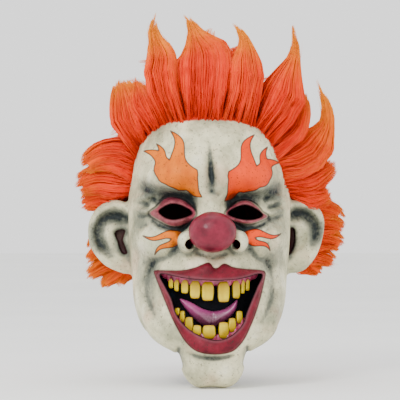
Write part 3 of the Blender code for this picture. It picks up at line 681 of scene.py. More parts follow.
class Paint:
    """A node material. Most methods make one node and return its output."""

    def __init__(self, name, **settings):
        self.material = bpy.data.materials.new(name)
        self.material.use_nodes = True
        self.tree = self.material.node_tree
        self.shader = self.tree.nodes["Principled BSDF"]
        for key, value in settings.items():
            self.shader.inputs[key.replace("_", " ")].default_value = value
        self.where = self.tree.nodes.new("ShaderNodeTexCoord").outputs["Object"]

    def node(self, kind, inputs, output=0, **settings):
        new = self.tree.nodes.new("ShaderNode" + kind)
        for key, value in settings.items():
            setattr(new, key, value)
        for key, value in inputs.items():
            self.plug(new.inputs[key], value)
        return new.outputs[output]

    def plug(self, socket, value):
        if isinstance(value, bpy.types.NodeSocket):
            self.tree.links.new(value, socket)
        elif isinstance(value, str):
            socket.default_value = colour(value)
        else:
            socket.default_value = value

    def attribute(self, name):
        return self.node("Attribute", {}, "Fac", attribute_name=name)

    def stretched(self, x, y, z):
        return self.node("Mapping", {"Vector": self.where, "Scale": (x, y, z)})

    def noise(self, scale, detail=3.0, rough=0.5, where=None, warp=0.0):
        return self.node(
            "TexNoise", {"Vector": where or self.where, "Scale": scale, "Detail": detail,
                         "Roughness": rough, "Distortion": warp}, "Fac")

    def cells(self, scale, feature="F1", where=None):
        return self.node(
            "TexVoronoi", {"Vector": where or self.where, "Scale": scale}, "Distance",
            feature=feature)

    def math(self, kind, a, b=0.0):
        return self.node("Math", {0: a, 1: b}, operation=kind)

    def span(self, value, low, high, start=0.0, end=1.0):
        """From start to end, smoothly, as the value goes from low to high."""
        return self.node(
            "MapRange", {"Value": value, "From Min": low, "From Max": high, "To Min": start,
                         "To Max": end}, interpolation_type="SMOOTHSTEP")

    def mix(self, share, a, b, kind="MIX"):
        return self.node(
            "Mix", {0: share, 6: a, 7: b}, 2, data_type="RGBA", blend_type=kind)

    def ramp(self, value, stops):
        out = self.node("ValToRGB", {"Fac": value})
        band = out.node.color_ramp
        while len(band.elements) < len(stops):
            band.elements.new(0.5)
        for element, (at, code) in zip(band.elements, stops):
            element.position = at
            element.color = colour(code)
        return out

    def done(self, base, rough=None, height=None, strength=0.3, reach=0.001):
        self.plug(self.shader.inputs["Base Color"], base)
        if rough is not None:
            self.plug(self.shader.inputs["Roughness"], rough)
        if height is not None:
            bump = self.node("Bump", {"Height": height, "Strength": strength, "Distance": reach})
            self.tree.links.new(bump, self.shader.inputs["Normal"])
        return self.material


def latex_material():
    """Airbrushed latex: grimy white skin, black-blue creases that carry painted shade as well as
    airbrushing, painted shade in every hollow, flames, lips and eye rims.
    """
    p = Paint("painted_latex", IOR=1.45, Specular_IOR_Level=0.18)
    blotch = p.noise(30, 6, 0.62)
    fine = p.noise(260, 5, 0.65)
    base = p.ramp(blotch, ((0.28, "80826a"), (0.43, "b8b492"), (0.58, "ded8b2"), (0.76, "f6f2d8")))
    base = p.mix(p.span(p.noise(21, 4), 0.52, 0.72, 0.0, 0.32), base, "cf8f72")
    base = p.mix(p.span(p.noise(14, 3), 0.48, 0.72, 0.0, 0.42), base, "8f9a78")
    base = p.mix(p.span(fine, 0.50, 0.78, 0.0, 0.35), base, "7d7c62")
    # painted shade in the recesses, from how hollow the surface is, added to the airbrushed creases
    # and dark patches and broken up at its edges
    hollow = p.math("MULTIPLY", p.attribute("hollow"), -1.0)
    wide = p.math("MULTIPLY", p.attribute("wide_hollow"), -1.0)
    soft = p.math("ADD", p.span(hollow, 0.1, 1.8, 0.0, 0.45), p.span(wide, 0.3, 4.6, 0.0, 0.5))
    tone = p.math("ADD", soft, p.attribute("dark"))
    tone = p.math("MULTIPLY", tone, p.span(fine, 0.25, 0.75, 0.78, 1.18))
    tone = p.math("MULTIPLY", tone, p.span(blotch, 0.3, 0.7, 1.2, 0.82))
    base = p.mix(p.span(tone, 0.02, 0.66, 0.0, 0.85), base, "5f6459")
    base = p.mix(p.span(tone, 0.42, 1.4, 0.0, 0.97), base, "1b2325")
    # the paint
    streak = p.noise(60, 5, 0.6, p.stretched(1.6, 1.0, 0.55))
    for name, light, deep in (
        ("flame_left", "e47400", "c85a00"), ("flame_right", "f04400", "d43600"),
    ):
        edge = p.attribute(name)
        fill = p.ramp(streak, ((0.30, deep), (0.60, light)))
        fill = p.mix(p.span(edge, -3.0, -0.5, 0.0, 0.35), fill, deep)
        # the flames take the same painted shade in the hollows and creases
        fill = p.mix(p.span(tone, 0.2, 1.3, 0.0, 0.75), fill, "3a1408")
        base = p.mix(p.span(edge, -0.15, 0.25, 1.0, 0.0), base, fill)
        line = p.span(p.math("ABSOLUTE", p.math("SUBTRACT", edge, 0.1)), 0.3, 0.85, 0.85, 0.0)
        base = p.mix(line, base, "35180f")
    mouth = p.attribute("mouth")
    lips = p.attribute("lips")
    red = p.ramp(p.noise(90, 5, 0.6), ((0.3, "50101c"), (0.55, "701626"), (0.75, "842638")))
    base = p.mix(p.span(lips, -0.2, 0.5, 1.0, 0.0), base, red)
    base = p.mix(p.span(p.math("ABSOLUTE", lips), 0.2, 1.1, 0.6, 0.0), base, "3a0f17")
    base = p.mix(p.span(mouth, 1.4, 4.0, 0.6, 0.0), base, "6b3f47")
    base = p.mix(p.span(mouth, 0.3, 1.6, 0.92, 0.0), base, "1c0a0e")
    rims = p.attribute("rims")
    lid = p.ramp(p.noise(120, 4, 0.6), ((0.3, "5e1a2c"), (0.7, "98404f")))
    base = p.mix(p.span(rims, -0.9, 0.7, 0.95, 0.0), base, lid)
    base = p.mix(p.span(p.math("ABSOLUTE", p.math("SUBTRACT", rims, 1.0)), 0.3, 1.8, 0.75, 0.0),
                 base, "1f1416")
    base = p.mix(p.span(p.attribute("eyes"), 0.3, 1.6, 0.95, 0.0), base, "240a10")
    base = p.mix(p.span(p.attribute("slots"), -0.4, 0.6, 0.95, 0.0), base, "2c0a10")
    # grime in the pores
    specks = p.math("MAXIMUM", p.span(p.noise(330, 3, 0.7), 0.60, 0.68, 0.0, 0.6),
                    p.span(p.cells(210), 0.16, 0.06, 0.0, 0.55))
    base = p.mix(specks, base, "2c2a22")
    base = p.mix(p.attribute("scalp"), base, "c02205")
    # dark crimson inside, also as painted shade behind the eye holes
    base = p.mix(p.attribute("inside"), base, p.ramp(blotch, ((0.3, "2a070b"), (0.7, "4d1016"))))
    height = p.math("ADD", p.noise(130, 6, 0.65), p.math("MULTIPLY", specks, -0.9))
    return p.done(base, p.span(fine, 0.3, 0.7, 0.42, 0.6), height, 0.4, 0.0014)


def hair_material():
    """Synthetic fur fibres, red at the root and orange at the tip."""
    p = Paint("flame_fur", IOR=1.45, Specular_IOR_Level=0.12)
    tint = p.attribute("tint")
    base = p.ramp(tint, ((0.0, "ee2400"), (0.2, "f63c00"), (0.38, "f86000"), (0.56, "fa8600"),
                         (1.0, "fca600")))
    base = p.mix(p.attribute("tone"), base, "f0704c")
    base = p.mix(p.span(p.noise(90, 3), 0.35, 0.65, 0.22, 0.0), base, "c81002")
    return p.done(base, p.span(p.noise(300, 2), 0.3, 0.7, 0.5, 0.65))


def nose_material():
    p = Paint("nose_paint", IOR=1.45, Specular_IOR_Level=0.35)
    blotch = p.noise(70, 5, 0.6)
    base = p.ramp(blotch, ((0.28, "4c0d1c"), (0.5, "6e1228"), (0.72, "841c34")))
    base = p.mix(p.span(p.noise(300, 4, 0.7), 0.62, 0.74, 0.0, 0.5), base, "3f0c16")
    height = p.math("ADD", p.noise(160, 5, 0.6), p.math("MULTIPLY", p.noise(40, 2), 0.8))
    return p.done(base, p.span(blotch, 0.3, 0.7, 0.30, 0.45), height, 0.22, 0.001)


def teeth_material():
    p = Paint("tooth_enamel", IOR=1.5, Specular_IOR_Level=0.25, Coat_Weight=0.06,
              Coat_Roughness=0.2)
    crown = p.attribute("crown")
    streak = p.noise(160, 5, 0.6, p.stretched(1, 1, 0.3))
    base = p.ramp(crown, ((0.0, "5a3c10"), (0.12, "b8900c"), (0.36, "ecc606"), (0.78, "f6dc18"),
                          (1.0, "c29410")))
    base = p.mix(p.span(streak, 0.35, 0.7, 0.4, 0.0), base, "a87c1c")
    # painted shade darkens each tooth's sides, where the gaps between the teeth fall, leaving the
    # middle lighter as a painted highlight
    base = p.mix(p.span(p.attribute("side"), 0.78, 1.0, 0.0, 0.9), base, "3a260c")
    return p.done(base, p.span(streak, 0.3, 0.7, 0.34, 0.24), p.noise(220, 4), 0.2, 0.0008)


def gum_material():
    p = Paint("gum_paint", IOR=1.5, Coat_Weight=0.2, Coat_Roughness=0.3)
    base = p.ramp(p.noise(120, 5, 0.6), ((0.3, "76203c"), (0.52, "b03a5c"), (0.75, "c8547c")))
    base = p.mix(p.span(p.noise(40, 2), 0.45, 0.65, 0.0, 0.4), base, "35101f")
    return p.done(base, p.span(p.noise(90, 3), 0.3, 0.7, 0.25, 0.4), p.noise(180, 4), 0.25, 0.001)


def tongue_material():
    p = Paint("tongue_paint", IOR=1.5, Coat_Weight=0.6, Coat_Roughness=0.18)
    # painted light: dark low down behind the lower teeth, lighter up to a painted highlight along the
    # top edge
    base = p.ramp(p.attribute("height"), ((0.0, "45182a"), (0.4, "6a2a48"), (0.75, "963a6e"),
                                          (1.0, "b04c84")))
    bumps = p.cells(900)
    base = p.mix(p.span(bumps, 0.1, 0.5, 0.25, 0.0), base, "d884b4")
    return p.done(base, p.span(bumps, 0.1, 0.6, 0.24, 0.42), bumps, 0.3, 0.0006)


def lining_material():
    p = Paint("mouth_paint", IOR=1.5, Specular_IOR_Level=0.2)
    base = p.ramp(p.noise(50, 5, 0.6), ((0.3, "040408"), (0.5, "080b14"), (0.75, "0e2032")))
    return p.done(base, p.span(p.noise(120, 3), 0.3, 0.7, 0.75, 0.9), p.noise(90, 5), 0.4, 0.0015)


def foam_material():
    p = Paint("pad_foam", IOR=1.4, Sheen_Weight=0.2)
    pores = p.cells(1500)
    base = p.ramp(p.noise(160, 4), ((0.3, "2c2c2e"), (0.7, "47474a")))
    base = p.mix(p.span(pores, 0.05, 0.35, 0.7, 0.0), base, "161617")
    return p.done(base, p.span(pores, 0.1, 0.6, 0.95, 0.8), pores, 0.6, 0.0006)


def woven_material(name, deep, light, along, across, rough=0.8):
    """Ribs and cross threads, at the given repeats for each metre."""
    p = Paint(name, IOR=1.4, Sheen_Weight=0.25, Sheen_Roughness=0.4)
    rib = p.node("TexWave", {"Vector": p.where, "Scale": across, "Distortion": 0.3},
                 "Fac", bands_direction="Z")
    weft = p.node("TexWave", {"Vector": p.where, "Scale": along, "Distortion": 0.3},
                  "Fac", bands_direction="X")
    weave = p.math("MULTIPLY", rib, weft)
    base = p.ramp(weave, ((0.1, deep), (0.8, light)))
    base = p.mix(p.span(p.noise(700, 3), 0.55, 0.7, 0.0, 0.3), base, light)
    return p.done(base, rough, weave, 0.6, 0.0006)


# ---------------------------------------------------------------- pieces of the mouth and nose
def grid_points(low, high, step):
    """Coordinate arrays of a small grid, ready for a field."""
    shape = tuple(int(math.ceil((high[i] - low[i]) / step)) for i in range(3))
    axes = [low[i] + step * np.arange(shape[i]) for i in range(3)]
    return axes[0][:, None, None], axes[1][None, :, None], axes[2][None, None, :]


def sculpted(name, field, low, step):
    """The zero surface of a small field as an object."""
    points, quads = zero_surface(field, step, low)
    return mesh_object(name, points, quads.tolist()), points


def arch_y(x):
    """The front of the dental arch at x."""
    return -108 + 0.007 * x * x


def tooth(name, upper):
    """A worn, slightly crooked tooth that fills its node's box."""
    low, high = (np.array(corner) * 1000 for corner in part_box(name))
    centre, size = (low + high) / 2, high - low
    turn = math.atan(0.014 * centre[0])
    depth = 4.8
    width = (1.06 if upper else 1.2) * (size[0] - 0.4 * depth * abs(math.sin(turn))) / math.cos(turn)
    seed = int(name[-1]) * 3 + (50 if upper else 0)
    around, rings = 28, 22
    points, crown, side = [], [], []
    for i in range(rings + 1):
        t = i / rings
        v = 2 * t - 1
        power = 3.0 if v < 0 else 6.0
        shrink = max(1 - abs(v) ** power, 0.0) ** (1 / power)
        bulge = 0.90 + 0.12 * math.sin(math.pi * min(t * 1.1, 1.0))
        for j in range(around):
            a = 2 * math.pi * j / around
            c, s = math.cos(a), math.sin(a)
            u = math.copysign(abs(c) ** 0.5, c)
            w = math.copysign(abs(s) ** 0.66, s)
            at = Vector((
                u * width / 2 * shrink * bulge,
                w * depth / 2 * shrink ** 0.7 * (0.8 + 0.2 * math.sin(math.pi * t)),
                (1 if upper else -1) * -v * size[2] / 2,
            ))
            at += 0.35 * noise.noise_vector(at * 0.22 + Vector((seed, 0, 0)))
            at.rotate(Matrix.Rotation(turn, 3, "Z"))
            points.append(np.array(at) + centre)
            crown.append(t)
            side.append(abs(u))
    faces = []
    for i in range(rings):
        for j in range(around):
            a, b = i * around + j, i * around + (j + 1) % around
            quad = (a, b, b + around, a + around)
            faces.append(quad[::-1] if upper else quad)
    obj = mesh_object("enamel_" + name, points, faces)
    work = bmesh.new()
    work.from_mesh(obj.data)
    bmesh.ops.remove_doubles(work, verts=work.verts, dist=1e-6)
    bmesh.ops.recalc_face_normals(work, faces=work.faces)
    work.to_mesh(obj.data)
    work.free()
    local = np.array([v.co for v in obj.data.vertices]) / MM
    tree = [int(np.argmin(((np.array(points) - p) ** 2).sum(1))) for p in local]
    store(obj, "crown", [crown[i] for i in tree])
    store(obj, "side", [side[i] for i in tree])
    return obj


def gum(name, path, radius, teeth, upper):
    """A ridge of gum along the arch, swollen round each tooth's root."""
    step = 0.8
    corners = np.array(path)
    low = corners.min(0) - radius - 5
    high = corners.max(0) + radius + 5
    x, y, z = grid_points(low, high, step)
    line = smooth_curve(path, per=5)
    field = np.full(np.broadcast_shapes(x.shape, y.shape, z.shape), 20.0)
    for p in line:
        field = smooth_min(field, ball(x, y, z, p, (radius, radius * 0.7, radius * 1.25)), 1.5)
    for node in teeth:
        a, b = (np.array(corner) * 1000 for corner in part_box(node))
        c, s = (a + b) / 2, b - a
        root = c[2] + (s[2] / 2 - 1.5 if upper else -s[2] / 2 + 1.5)
        for side in (-1, 1):
            swell = ball(x, y, z, (c[0] + side * s[0] / 2, c[1] + 0.8, root),
                         (2.3, 2.6, 4.2))
            field = smooth_min(field, swell, 1.4)
    obj, _ = sculpted(name, field, low, step)
    return obj


def tongue():
    """A crescent of tongue behind the lower teeth, grooved down its middle."""
    outline = smooth_curve(
        ((-32, -198.6), (-21, -201.8), (-9.5, -208), (1.5, -211), (13, -208.6), (21, -203),
         (26, -199.4), (24, -211), (14, -222), (2, -229), (-8, -227), (-18, -219), (-28, -207)),
        True, 5)
    step = 0.8
    low, high = (-36, -106, -238), (30, -84, -194)
    x, y, z = grid_points(low, high, step)
    flat_x, flat_z = np.meshgrid(x[:, 0, 0], z[0, 0, :], indexing="ij")
    edge = shape_distance(flat_x, flat_z, outline)
    groove = np.exp(-(((flat_x - 1 - 0.02 * (flat_z + 215)) / 1.8) ** 2))
    swell = 6.2 * np.sqrt(np.clip(-edge / 7, 0, 1)) - 1.3 * groove * np.clip(-edge / 4, 0, 1)
    middle = -93.5
    front = (middle - swell)[:, None, :] - y
    back = y - (middle + 2.5)
    field = smooth_max(smooth_max(front, back, 1.5), edge[:, None, :], 2.5)
    obj, points = sculpted("tongue_flesh", field, low, step)
    store(obj, "height", np.clip((points[:, 2] + 224) / 18, 0, 1))
    return obj


def nose():
    """The ball nose: not quite round, and a little flattened below."""
    low, high = (np.array(corner) * 1000 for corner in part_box("clown_nose"))
    centre = Vector(((low + high) / 2).tolist())
    centre.y = high[1] - 20
    mesh = bpy.data.meshes.new("nose_ball")
    work = bmesh.new()
    bmesh.ops.create_icosphere(work, subdivisions=6, radius=1.0)
    for v in work.verts:
        d = v.co.normalized()
        size = Vector((23.6, 22.0, 20.6))
        lump = 1 + 0.018 * noise.noise(d * 2.1) + 0.006 * noise.noise(d * 7)
        flat = 1 - 0.03 * max(-d.z, 0) ** 2
        v.co = (centre + Vector(d[i] * size[i] for i in range(3)) * lump * flat) * MM
    work.to_mesh(mesh)
    work.free()
    mesh.polygons.foreach_set("use_smooth", [True] * len(mesh.polygons))
    obj = bpy.data.objects.new("nose_ball", mesh)
    bpy.context.scene.collection.objects.link(obj)
    return obj


# ---------------------------------------------------------------- hair
HAIRLINE = ((-88, -118), (-84, -100), (-81, -86), (-77, -62), (-71, -44.5), (-57, -30.5),
            (-43, -23.5), (-8, -20.5), (27, -22), (47, -28.5), (60, -42), (68.5, -62), (78, -86),
            (84, -98), (88, -118), (0, -300))

# A lock: where it springs from, its stations (x, y, z, half-width, half-depth) up to its tip, how
# many fibres, and how orange its root and tip are. The half-width is seen from the front.
FRONT_LOCKS = {
    "a": ((-46, -48, -2), ((-51, -55, 18, 17, 26), (-50, -48, 38, 16, 16), (-51.5, -44, 48, 14, 11),
                           (-56, -40, 60, 8, 6), (-58.5, -38, 72, 5, 3.5),
                           (-55.5, -36, 87, 0.8, 0.7)), 1000, (0.16, 1.0)),
    "b": ((-9, -45, 2), ((-8, -55, 18, 28, 28), (-7, -46, 38, 29, 18), (-8, -42, 49, 26, 13),
                         (-13, -40, 58, 16, 8), (-17, -38, 68, 7.6, 5), (-21, -36, 77, 4, 3),
                         (-29, -35, 86, 0.8, 0.7)), 1600, (0.06, 0.95)),
    "c": ((33, -45, 0), ((34, -54, 16, 18, 26), (33.5, -46, 35, 17.5, 16), (34, -42, 47, 12, 10),
                         (33, -40, 57, 7, 6), (29.5, -38, 67, 3.4, 3),
                         (20.5, -36, 78, 0.8, 0.7)), 1000, (0.14, 1.0)),
    "d": ((62, -32, -18), ((69, -38, -2, 25, 24), (74, -32, 17, 19, 15), (79, -28, 32, 11.5, 9),
                           (82.5, -26, 44, 6.2, 5), (83.5, -25, 57, 4, 3),
                           (81.5, -24, 75, 0.8, 0.7)), 1100, (0.10, 0.88)),
}
RIGHT_LOCKS = {
    "e": ((80, -12, -52), ((92, -14, -56, 22, 18), (105, -12, -43, 20, 13), (114.5, -10, -26, 9, 7),
                           (115.5, -10, -13, 6.4, 4.5), (113, -9, 0, 3.8, 3),
                           (104.5, -8, 22, 0.8, 0.7)), 1000, (0.18, 1.0)),
    "d_side": ((72, -18, -36), ((80, -20, -30, 17, 16), (87, -18, -16, 14, 10),
                                (91, -17, -4, 9, 6), (93, -16, 7, 3, 2)), 560, (0.10, 0.6)),
    "side_1": ((83, 2, -80), ((96, 2, -78, 18, 15), (108, 3, -72, 16, 12), (117, 3, -66, 12, 9),
                              (122, 4, -60, 8, 5)), 620, (0.12, 0.5)),
    "side_2": ((84, 6, -100), ((97, 7, -98, 16, 14), (108, 8, -96, 14, 12), (115, 8, -94, 11, 9),
                               (120, 9, -92, 8, 5)), 560, (0.12, 0.45)),
    "back_1": ((84, 26, -112), ((99, 29, -110, 14, 14), (114, 31, -110, 11, 10),
                                (125, 31, -113, 8, 7), (133, 30, -119, 4, 3)), 420, (0.2, 0.5)),
    "back_2": ((84, 30, -128), ((100, 33, -125, 14, 14), (117, 35, -125, 12, 10),
                                (127, 34, -127, 9, 7), (133, 33, -131, 6, 4)), 460, (0.2, 0.5)),
    "back_3": ((82, 32, -142), ((99, 36, -140, 14, 14), (115, 38, -140, 12, 10),
                                (126, 37, -143, 10, 7), (132, 36, -146, 7, 4)), 460, (0.2, 0.5)),
    "back_4": ((80, 32, -152), ((95, 38, -153, 13, 13), (108, 41, -156, 11, 10),
                                (118, 40, -160, 9, 7), (124, 39, -163, 6, 4)), 420, (0.2, 0.5)),
    "back_5": ((78, 32, -160), ((88, 40, -163, 11, 11), (98, 43, -167, 9, 8),
                                (106, 42, -171, 7, 5), (110, 41, -174, 4, 3)), 320, (0.2, 0.5)),
}
LEFT_LOCKS = {
    "f": ((-72, -22, -38), ((-80, -28, -22, 20, 20), (-84, -24, -6, 19, 14), (-87, -22, 6, 15, 9),
                            (-89, -21, 14, 11, 6), (-91, -20, 21, 6, 2)), 900, (0.12, 0.8)),
    "f_inner": ((-62, -30, -24), ((-67, -36, -6, 16, 20), (-71, -30, 5, 13, 12),
                                  (-73, -27, 12, 8, 6), (-76, -26, 23, 1, 1)), 520, (0.10, 0.6)),
    "side_1": ((-79, -6, -62), ((-92, -8, -56, 20, 17), (-108, -8, -56, 17, 13),
                                (-121, -6, -62, 13, 9), (-131, -4, -71, 8, 5)), 800, (0.1, 0.55)),
    "side_2": ((-83, 4, -84), ((-98, 3, -81, 19, 16), (-114, 4, -80, 17, 13),
                               (-127, 5, -84, 14, 9), (-136, 6, -89, 9, 5)), 800, (0.1, 0.5)),
    "side_3": ((-84, 12, -104), ((-99, 13, -102, 15, 15), (-113, 15, -100, 13, 12),
                                 (-124, 16, -103, 10, 8), (-131, 17, -108, 6, 4)),
               560, (0.1, 0.45)),
    "back_1": ((-83, 30, -124), ((-97, 34, -126, 13, 14), (-108, 37, -132, 11, 10),
                                 (-117, 37, -141, 8, 7), (-122, 36, -149, 5, 3)), 400, (0.25, 0.5)),
    "back_2": ((-82, 32, -140), ((-97, 37, -144, 13, 13), (-110, 40, -150, 11, 10),
                                 (-120, 40, -157, 8, 7), (-126, 39, -163, 5, 3)), 400, (0.25, 0.6)),
    "back_3": ((-80, 33, -152), ((-94, 40, -158, 12, 12), (-107, 42, -166, 11, 9),
                                 (-118, 42, -173, 9, 7), (-125, 40, -179, 6, 4)), 420, (0.25, 0.6)),
    "back_4": ((-78, 33, -160), ((-88, 42, -168, 11, 11), (-98, 44, -176, 9, 8),
                                 (-106, 43, -182, 7, 5), (-110, 42, -187, 4, 3)), 340, (0.25, 0.6)),
    "back_5": ((-76, 34, -164), ((-83, 43, -171, 9, 9), (-89, 46, -179, 7, 7),
                                 (-93, 45, -187, 5, 4)), 260, (0.25, 0.6)),
}


def back_locks():
    """Locks over the back of the head: up and out at the crown, then falling."""
    out = {}
    rng = random.Random(11)
    rows = (
        (0.35, 3, 54, 1.6), (0.8, 7, 46, 1.2), (1.25, 9, 40, 0.6), (1.7, 10, 37, 0.2),
        (2.15, 11, 37, -0.15), (2.6, 11, 37, -0.35), (3.05, 12, 36, -0.55), (3.5, 12, 35, -0.7),
        (3.95, 12, 33, -0.8), (4.4, 12, 30, -0.85), (4.85, 11, 25, -0.8), (5.2, 10, 20, -0.75),
    )
    for i, (level, many, reach, rise) in enumerate(rows):
        wide = 58 if i > 1 else 36 + 20 * i
        turns = [180 + wide * (2 * (j + 0.5 * (i % 2)) / (many - 0.5) - 1) * 1.24 for j in range(many)]
        for j, turn in enumerate(turns):
            turn += rng.uniform(-6, 6)
            base = skin_point(level + rng.uniform(-0.1, 0.1), turn)
            out_way = (skin_point(level, turn, 1.0) - skin_point(level, turn)).normalized()
            swirl = Vector((rng.uniform(-0.35, 0.35), 0, 0))
            way = (out_way * 0.8 + Vector((0, 0.15, rise)) + swirl).normalized()
            fall = (way + Vector((0, 0, -0.7 - 0.3 * rng.random())) + swirl * 0.6).normalized()
            far = reach * rng.uniform(0.9, 1.1)
            a = base + out_way * 7 + way * 3
            b = a + way * far * 0.36
            c = b + (way * 0.5 + fall * 0.5) * far * 0.38
            d = c + fall * far * 0.34
            stations = ((*a, 14, 12), (*b, 14, 11), (*c, 12, 10), (*d, 6, 5))
            count = 66 if i else 130
            out[f"back_{i}_{j}"] = (tuple(base), stations, count, (0.10, 0.34 + 0.3 * rng.random()))
    return out


def scalp_points():
    """Points all over the scalp, where hair is rooted, spread evenly by area."""
    grid = []
    for level in np.arange(0.06, 5.35, 0.045):
        ring = loft_ring(level, np.arange(0, 360, 2.0))
        size = np.linalg.norm(ring - np.roll(ring, 1, 0), axis=1).sum()
        keep = max(int(size / 2.2), 6)
        grid.append(loft_ring(level, np.sort(RNG.uniform(0, 360, keep))))
    points = np.concatenate(grid)
    x, y, z = points.T
    face = shape_distance(x, z, np.array(HAIRLINE, float))
    bald = (face < 0.4) & (y < 12)
    ears = (np.abs(x) > 60) & (z < -98) & (y < 18)
    low = z < np.where(np.abs(x) > 62, -168, -139)
    return points[~(bald | ears | low)]


def along(controls, count):
    """Smooth paths through the controls, an array of (paths, controls, 3), at even steps."""
    last = controls.shape[1] - 1
    t = np.linspace(0, last, count)
    i = np.minimum(t.astype(int), last - 1)
    f = (t - i)[None, :, None]
    a, b = controls[:, i], controls[:, i + 1]
    before = controls[:, np.maximum(i - 1, 0)]
    after = controls[:, np.minimum(i + 2, last)]
    return 0.5 * (
        2 * a + (b - before) * f + (2 * before - 5 * a + 4 * b - after) * f**2
        + (3 * a - before - 3 * b + after) * f**3
    )


def at_depth(lock):
    """A lock drawn on the plane of the face, spread so that it looks so wide at its own depth."""
    base, stations, *rest = lock
    out = []
    for x, y, z, wide, deep in stations:
        behind = y - AIM_Y
        grow = (EYE_FAR + behind) / EYE_FAR
        out.append(((x - AIM_X) * grow + AIM_X + SLANT * behind, y,
                    (z - AIM_Z) * grow + AIM_Z, wide * grow, deep))
    return (base, tuple(out), *rest)


def cross_axes(ways, across):
    """Unit axes to the side and in depth, across a path, for locks behind or in front."""
    if across:
        sides = np.tile((1.0, 0, 0), (len(ways), 1))
        deeps = np.cross(ways, sides)
    else:
        deeps = np.tile((0, 1.0, 0), (len(ways), 1))
        sides = np.cross(deeps, ways)
    deeps /= np.linalg.norm(deeps, axis=1)[:, None]
    sides /= np.linalg.norm(sides, axis=1)[:, None]
    return sides, deeps


def lock_fibres(root_pool, lock, across, steps=8):
    """Fibre paths, colours and tones for one lock, rooted on the given scalp points."""
    base, stations, count, (root_tint, tip_tint) = lock
    base = np.array(base, float)
    stations = np.array(stations, float)
    picks = root_pool[RNG.integers(0, len(root_pool), count)] + RNG.normal(0, 0.6, (count, 3))
    centres = stations[:, :3]
    ways = np.gradient(np.vstack([base, centres]), axis=0)[1:]
    sides, deeps = cross_axes(ways, across)
    spread = picks - root_pool.mean(0)
    reach = max(np.percentile(np.abs(spread @ sides[0]), 96), 1)
    depth = max(np.percentile(np.abs(spread @ deeps[0]), 96), 1)
    uv = np.stack([spread @ sides[0] / reach, spread @ deeps[0] / depth], 1)
    uv += RNG.normal(0, 0.12, uv.shape)
    size = np.maximum(np.linalg.norm(uv, axis=1), 1e-3)
    uv *= (np.minimum(size, 1) ** 0.65 / size)[:, None]
    # wisps inside the lock, each ending at a point of its own
    wisps = max(count // 45, 4)
    heads = RNG.uniform(-1, 1, (wisps * 3, 2))
    heads = heads[np.linalg.norm(heads, axis=1) < 0.98][:wisps]
    near = ((uv[:, None] - heads[None]) ** 2).sum(2).argmin(1)
    ends = np.clip(1.02 - 0.13 * np.linalg.norm(heads, axis=1) - RNG.uniform(0, 0.1, len(heads)),
                   0, 1)
    ends[np.linalg.norm(heads, axis=1).argmin()] = 1
    end = np.clip(ends[near] - np.abs(RNG.normal(0, 0.05, count)), 0.3, 1)
    controls = [picks]
    for k in range(len(stations)):
        share = ((k + 1) / len(stations)) ** 1.3
        at = uv + (heads[near] - uv) * share * 0.45
        controls.append(
            centres[k] + sides[k] * (at[:, :1] * stations[k, 3])
            + deeps[k] * (at[:, 1:] * stations[k, 4])
        )
    controls = np.stack(controls, 1)
    # the root lies in the scalp and leaves it leaning the lock's way
    lean = controls[:, 1] - controls[:, 0]
    controls[:, 0] -= 1.5 * lean / np.linalg.norm(lean, axis=1)[:, None]
    dense = along(controls, 33)
    share = end[:, None] * np.linspace(0, 1, steps)[None]
    where = share * 32
    i = np.minimum(where.astype(int), 31)
    f = (where - i)[..., None]
    rows = np.arange(count)[:, None]
    paths = dense[rows, i] * (1 - f) + dense[rows, i + 1] * f
    wave = RNG.normal(0, 1, (count, 3))
    stray = np.where(RNG.random(count) < 0.05, 2.6, 0.7)[:, None, None]
    bend = np.sin(np.linspace(0, 1, steps)[None, :, None] * 4.5 + RNG.uniform(0, 6, (count, 1, 1)))
    paths += wave[:, None] * stray * bend * (share**1.5)[..., None]
    tint = root_tint + (tip_tint - root_tint) * share**1.7
    tint = tint + 0.2 * np.abs(uv[:, :1]) ** 2 * share + RNG.normal(0, 0.06, (count, 1))
    tone = np.clip(RNG.normal(0.0, 0.16, (count, 1)), 0, 0.6)
    return paths, np.clip(tint, 0, 1), tone


def lock_core(lock, across, around=14, steps=14, share=0.5):
    """The lock's dense middle, under its fibres: points, faces and how orange each point is."""
    base, stations, _, (root_tint, tip_tint) = lock
    rows = np.array([(*base, stations[0][3] * 0.5, stations[0][4] * 0.5), *stations], float)
    rows[0, :3] = 0.6 * rows[0, :3] + 0.4 * rows[1, :3]
    dense = along(rows[None], 60)[0][:49]
    dense = dense[np.linspace(0, len(dense) - 1, steps).astype(int)]
    ways = np.gradient(dense[:, :3], axis=0)
    sides, deeps = cross_axes(ways, across)
    angle = np.linspace(0, 2 * math.pi, around, endpoint=False)
    size = share * np.maximum(dense[:, 3:5], 0.4)
    points = (
        dense[:, None, :3] + sides[:, None] * (size[:, :1] * np.cos(angle))[..., None]
        + deeps[:, None] * (size[:, 1:] * np.sin(angle))[..., None]
    ).reshape(-1, 3)
    faces = []
    for r in range(steps - 1):
        for k in range(around):
            a, b = r * around + k, r * around + (k + 1) % around
            faces.append((a, b, b + around, a + around))
    faces.append(tuple(range(around))[::-1])
    faces.append(tuple(range((steps - 1) * around, steps * around)))
    run = np.repeat(np.linspace(0, 0.8, steps), around)
    return points, faces, np.clip(root_tint + (tip_tint - root_tint) * run**1.7, 0, 1)


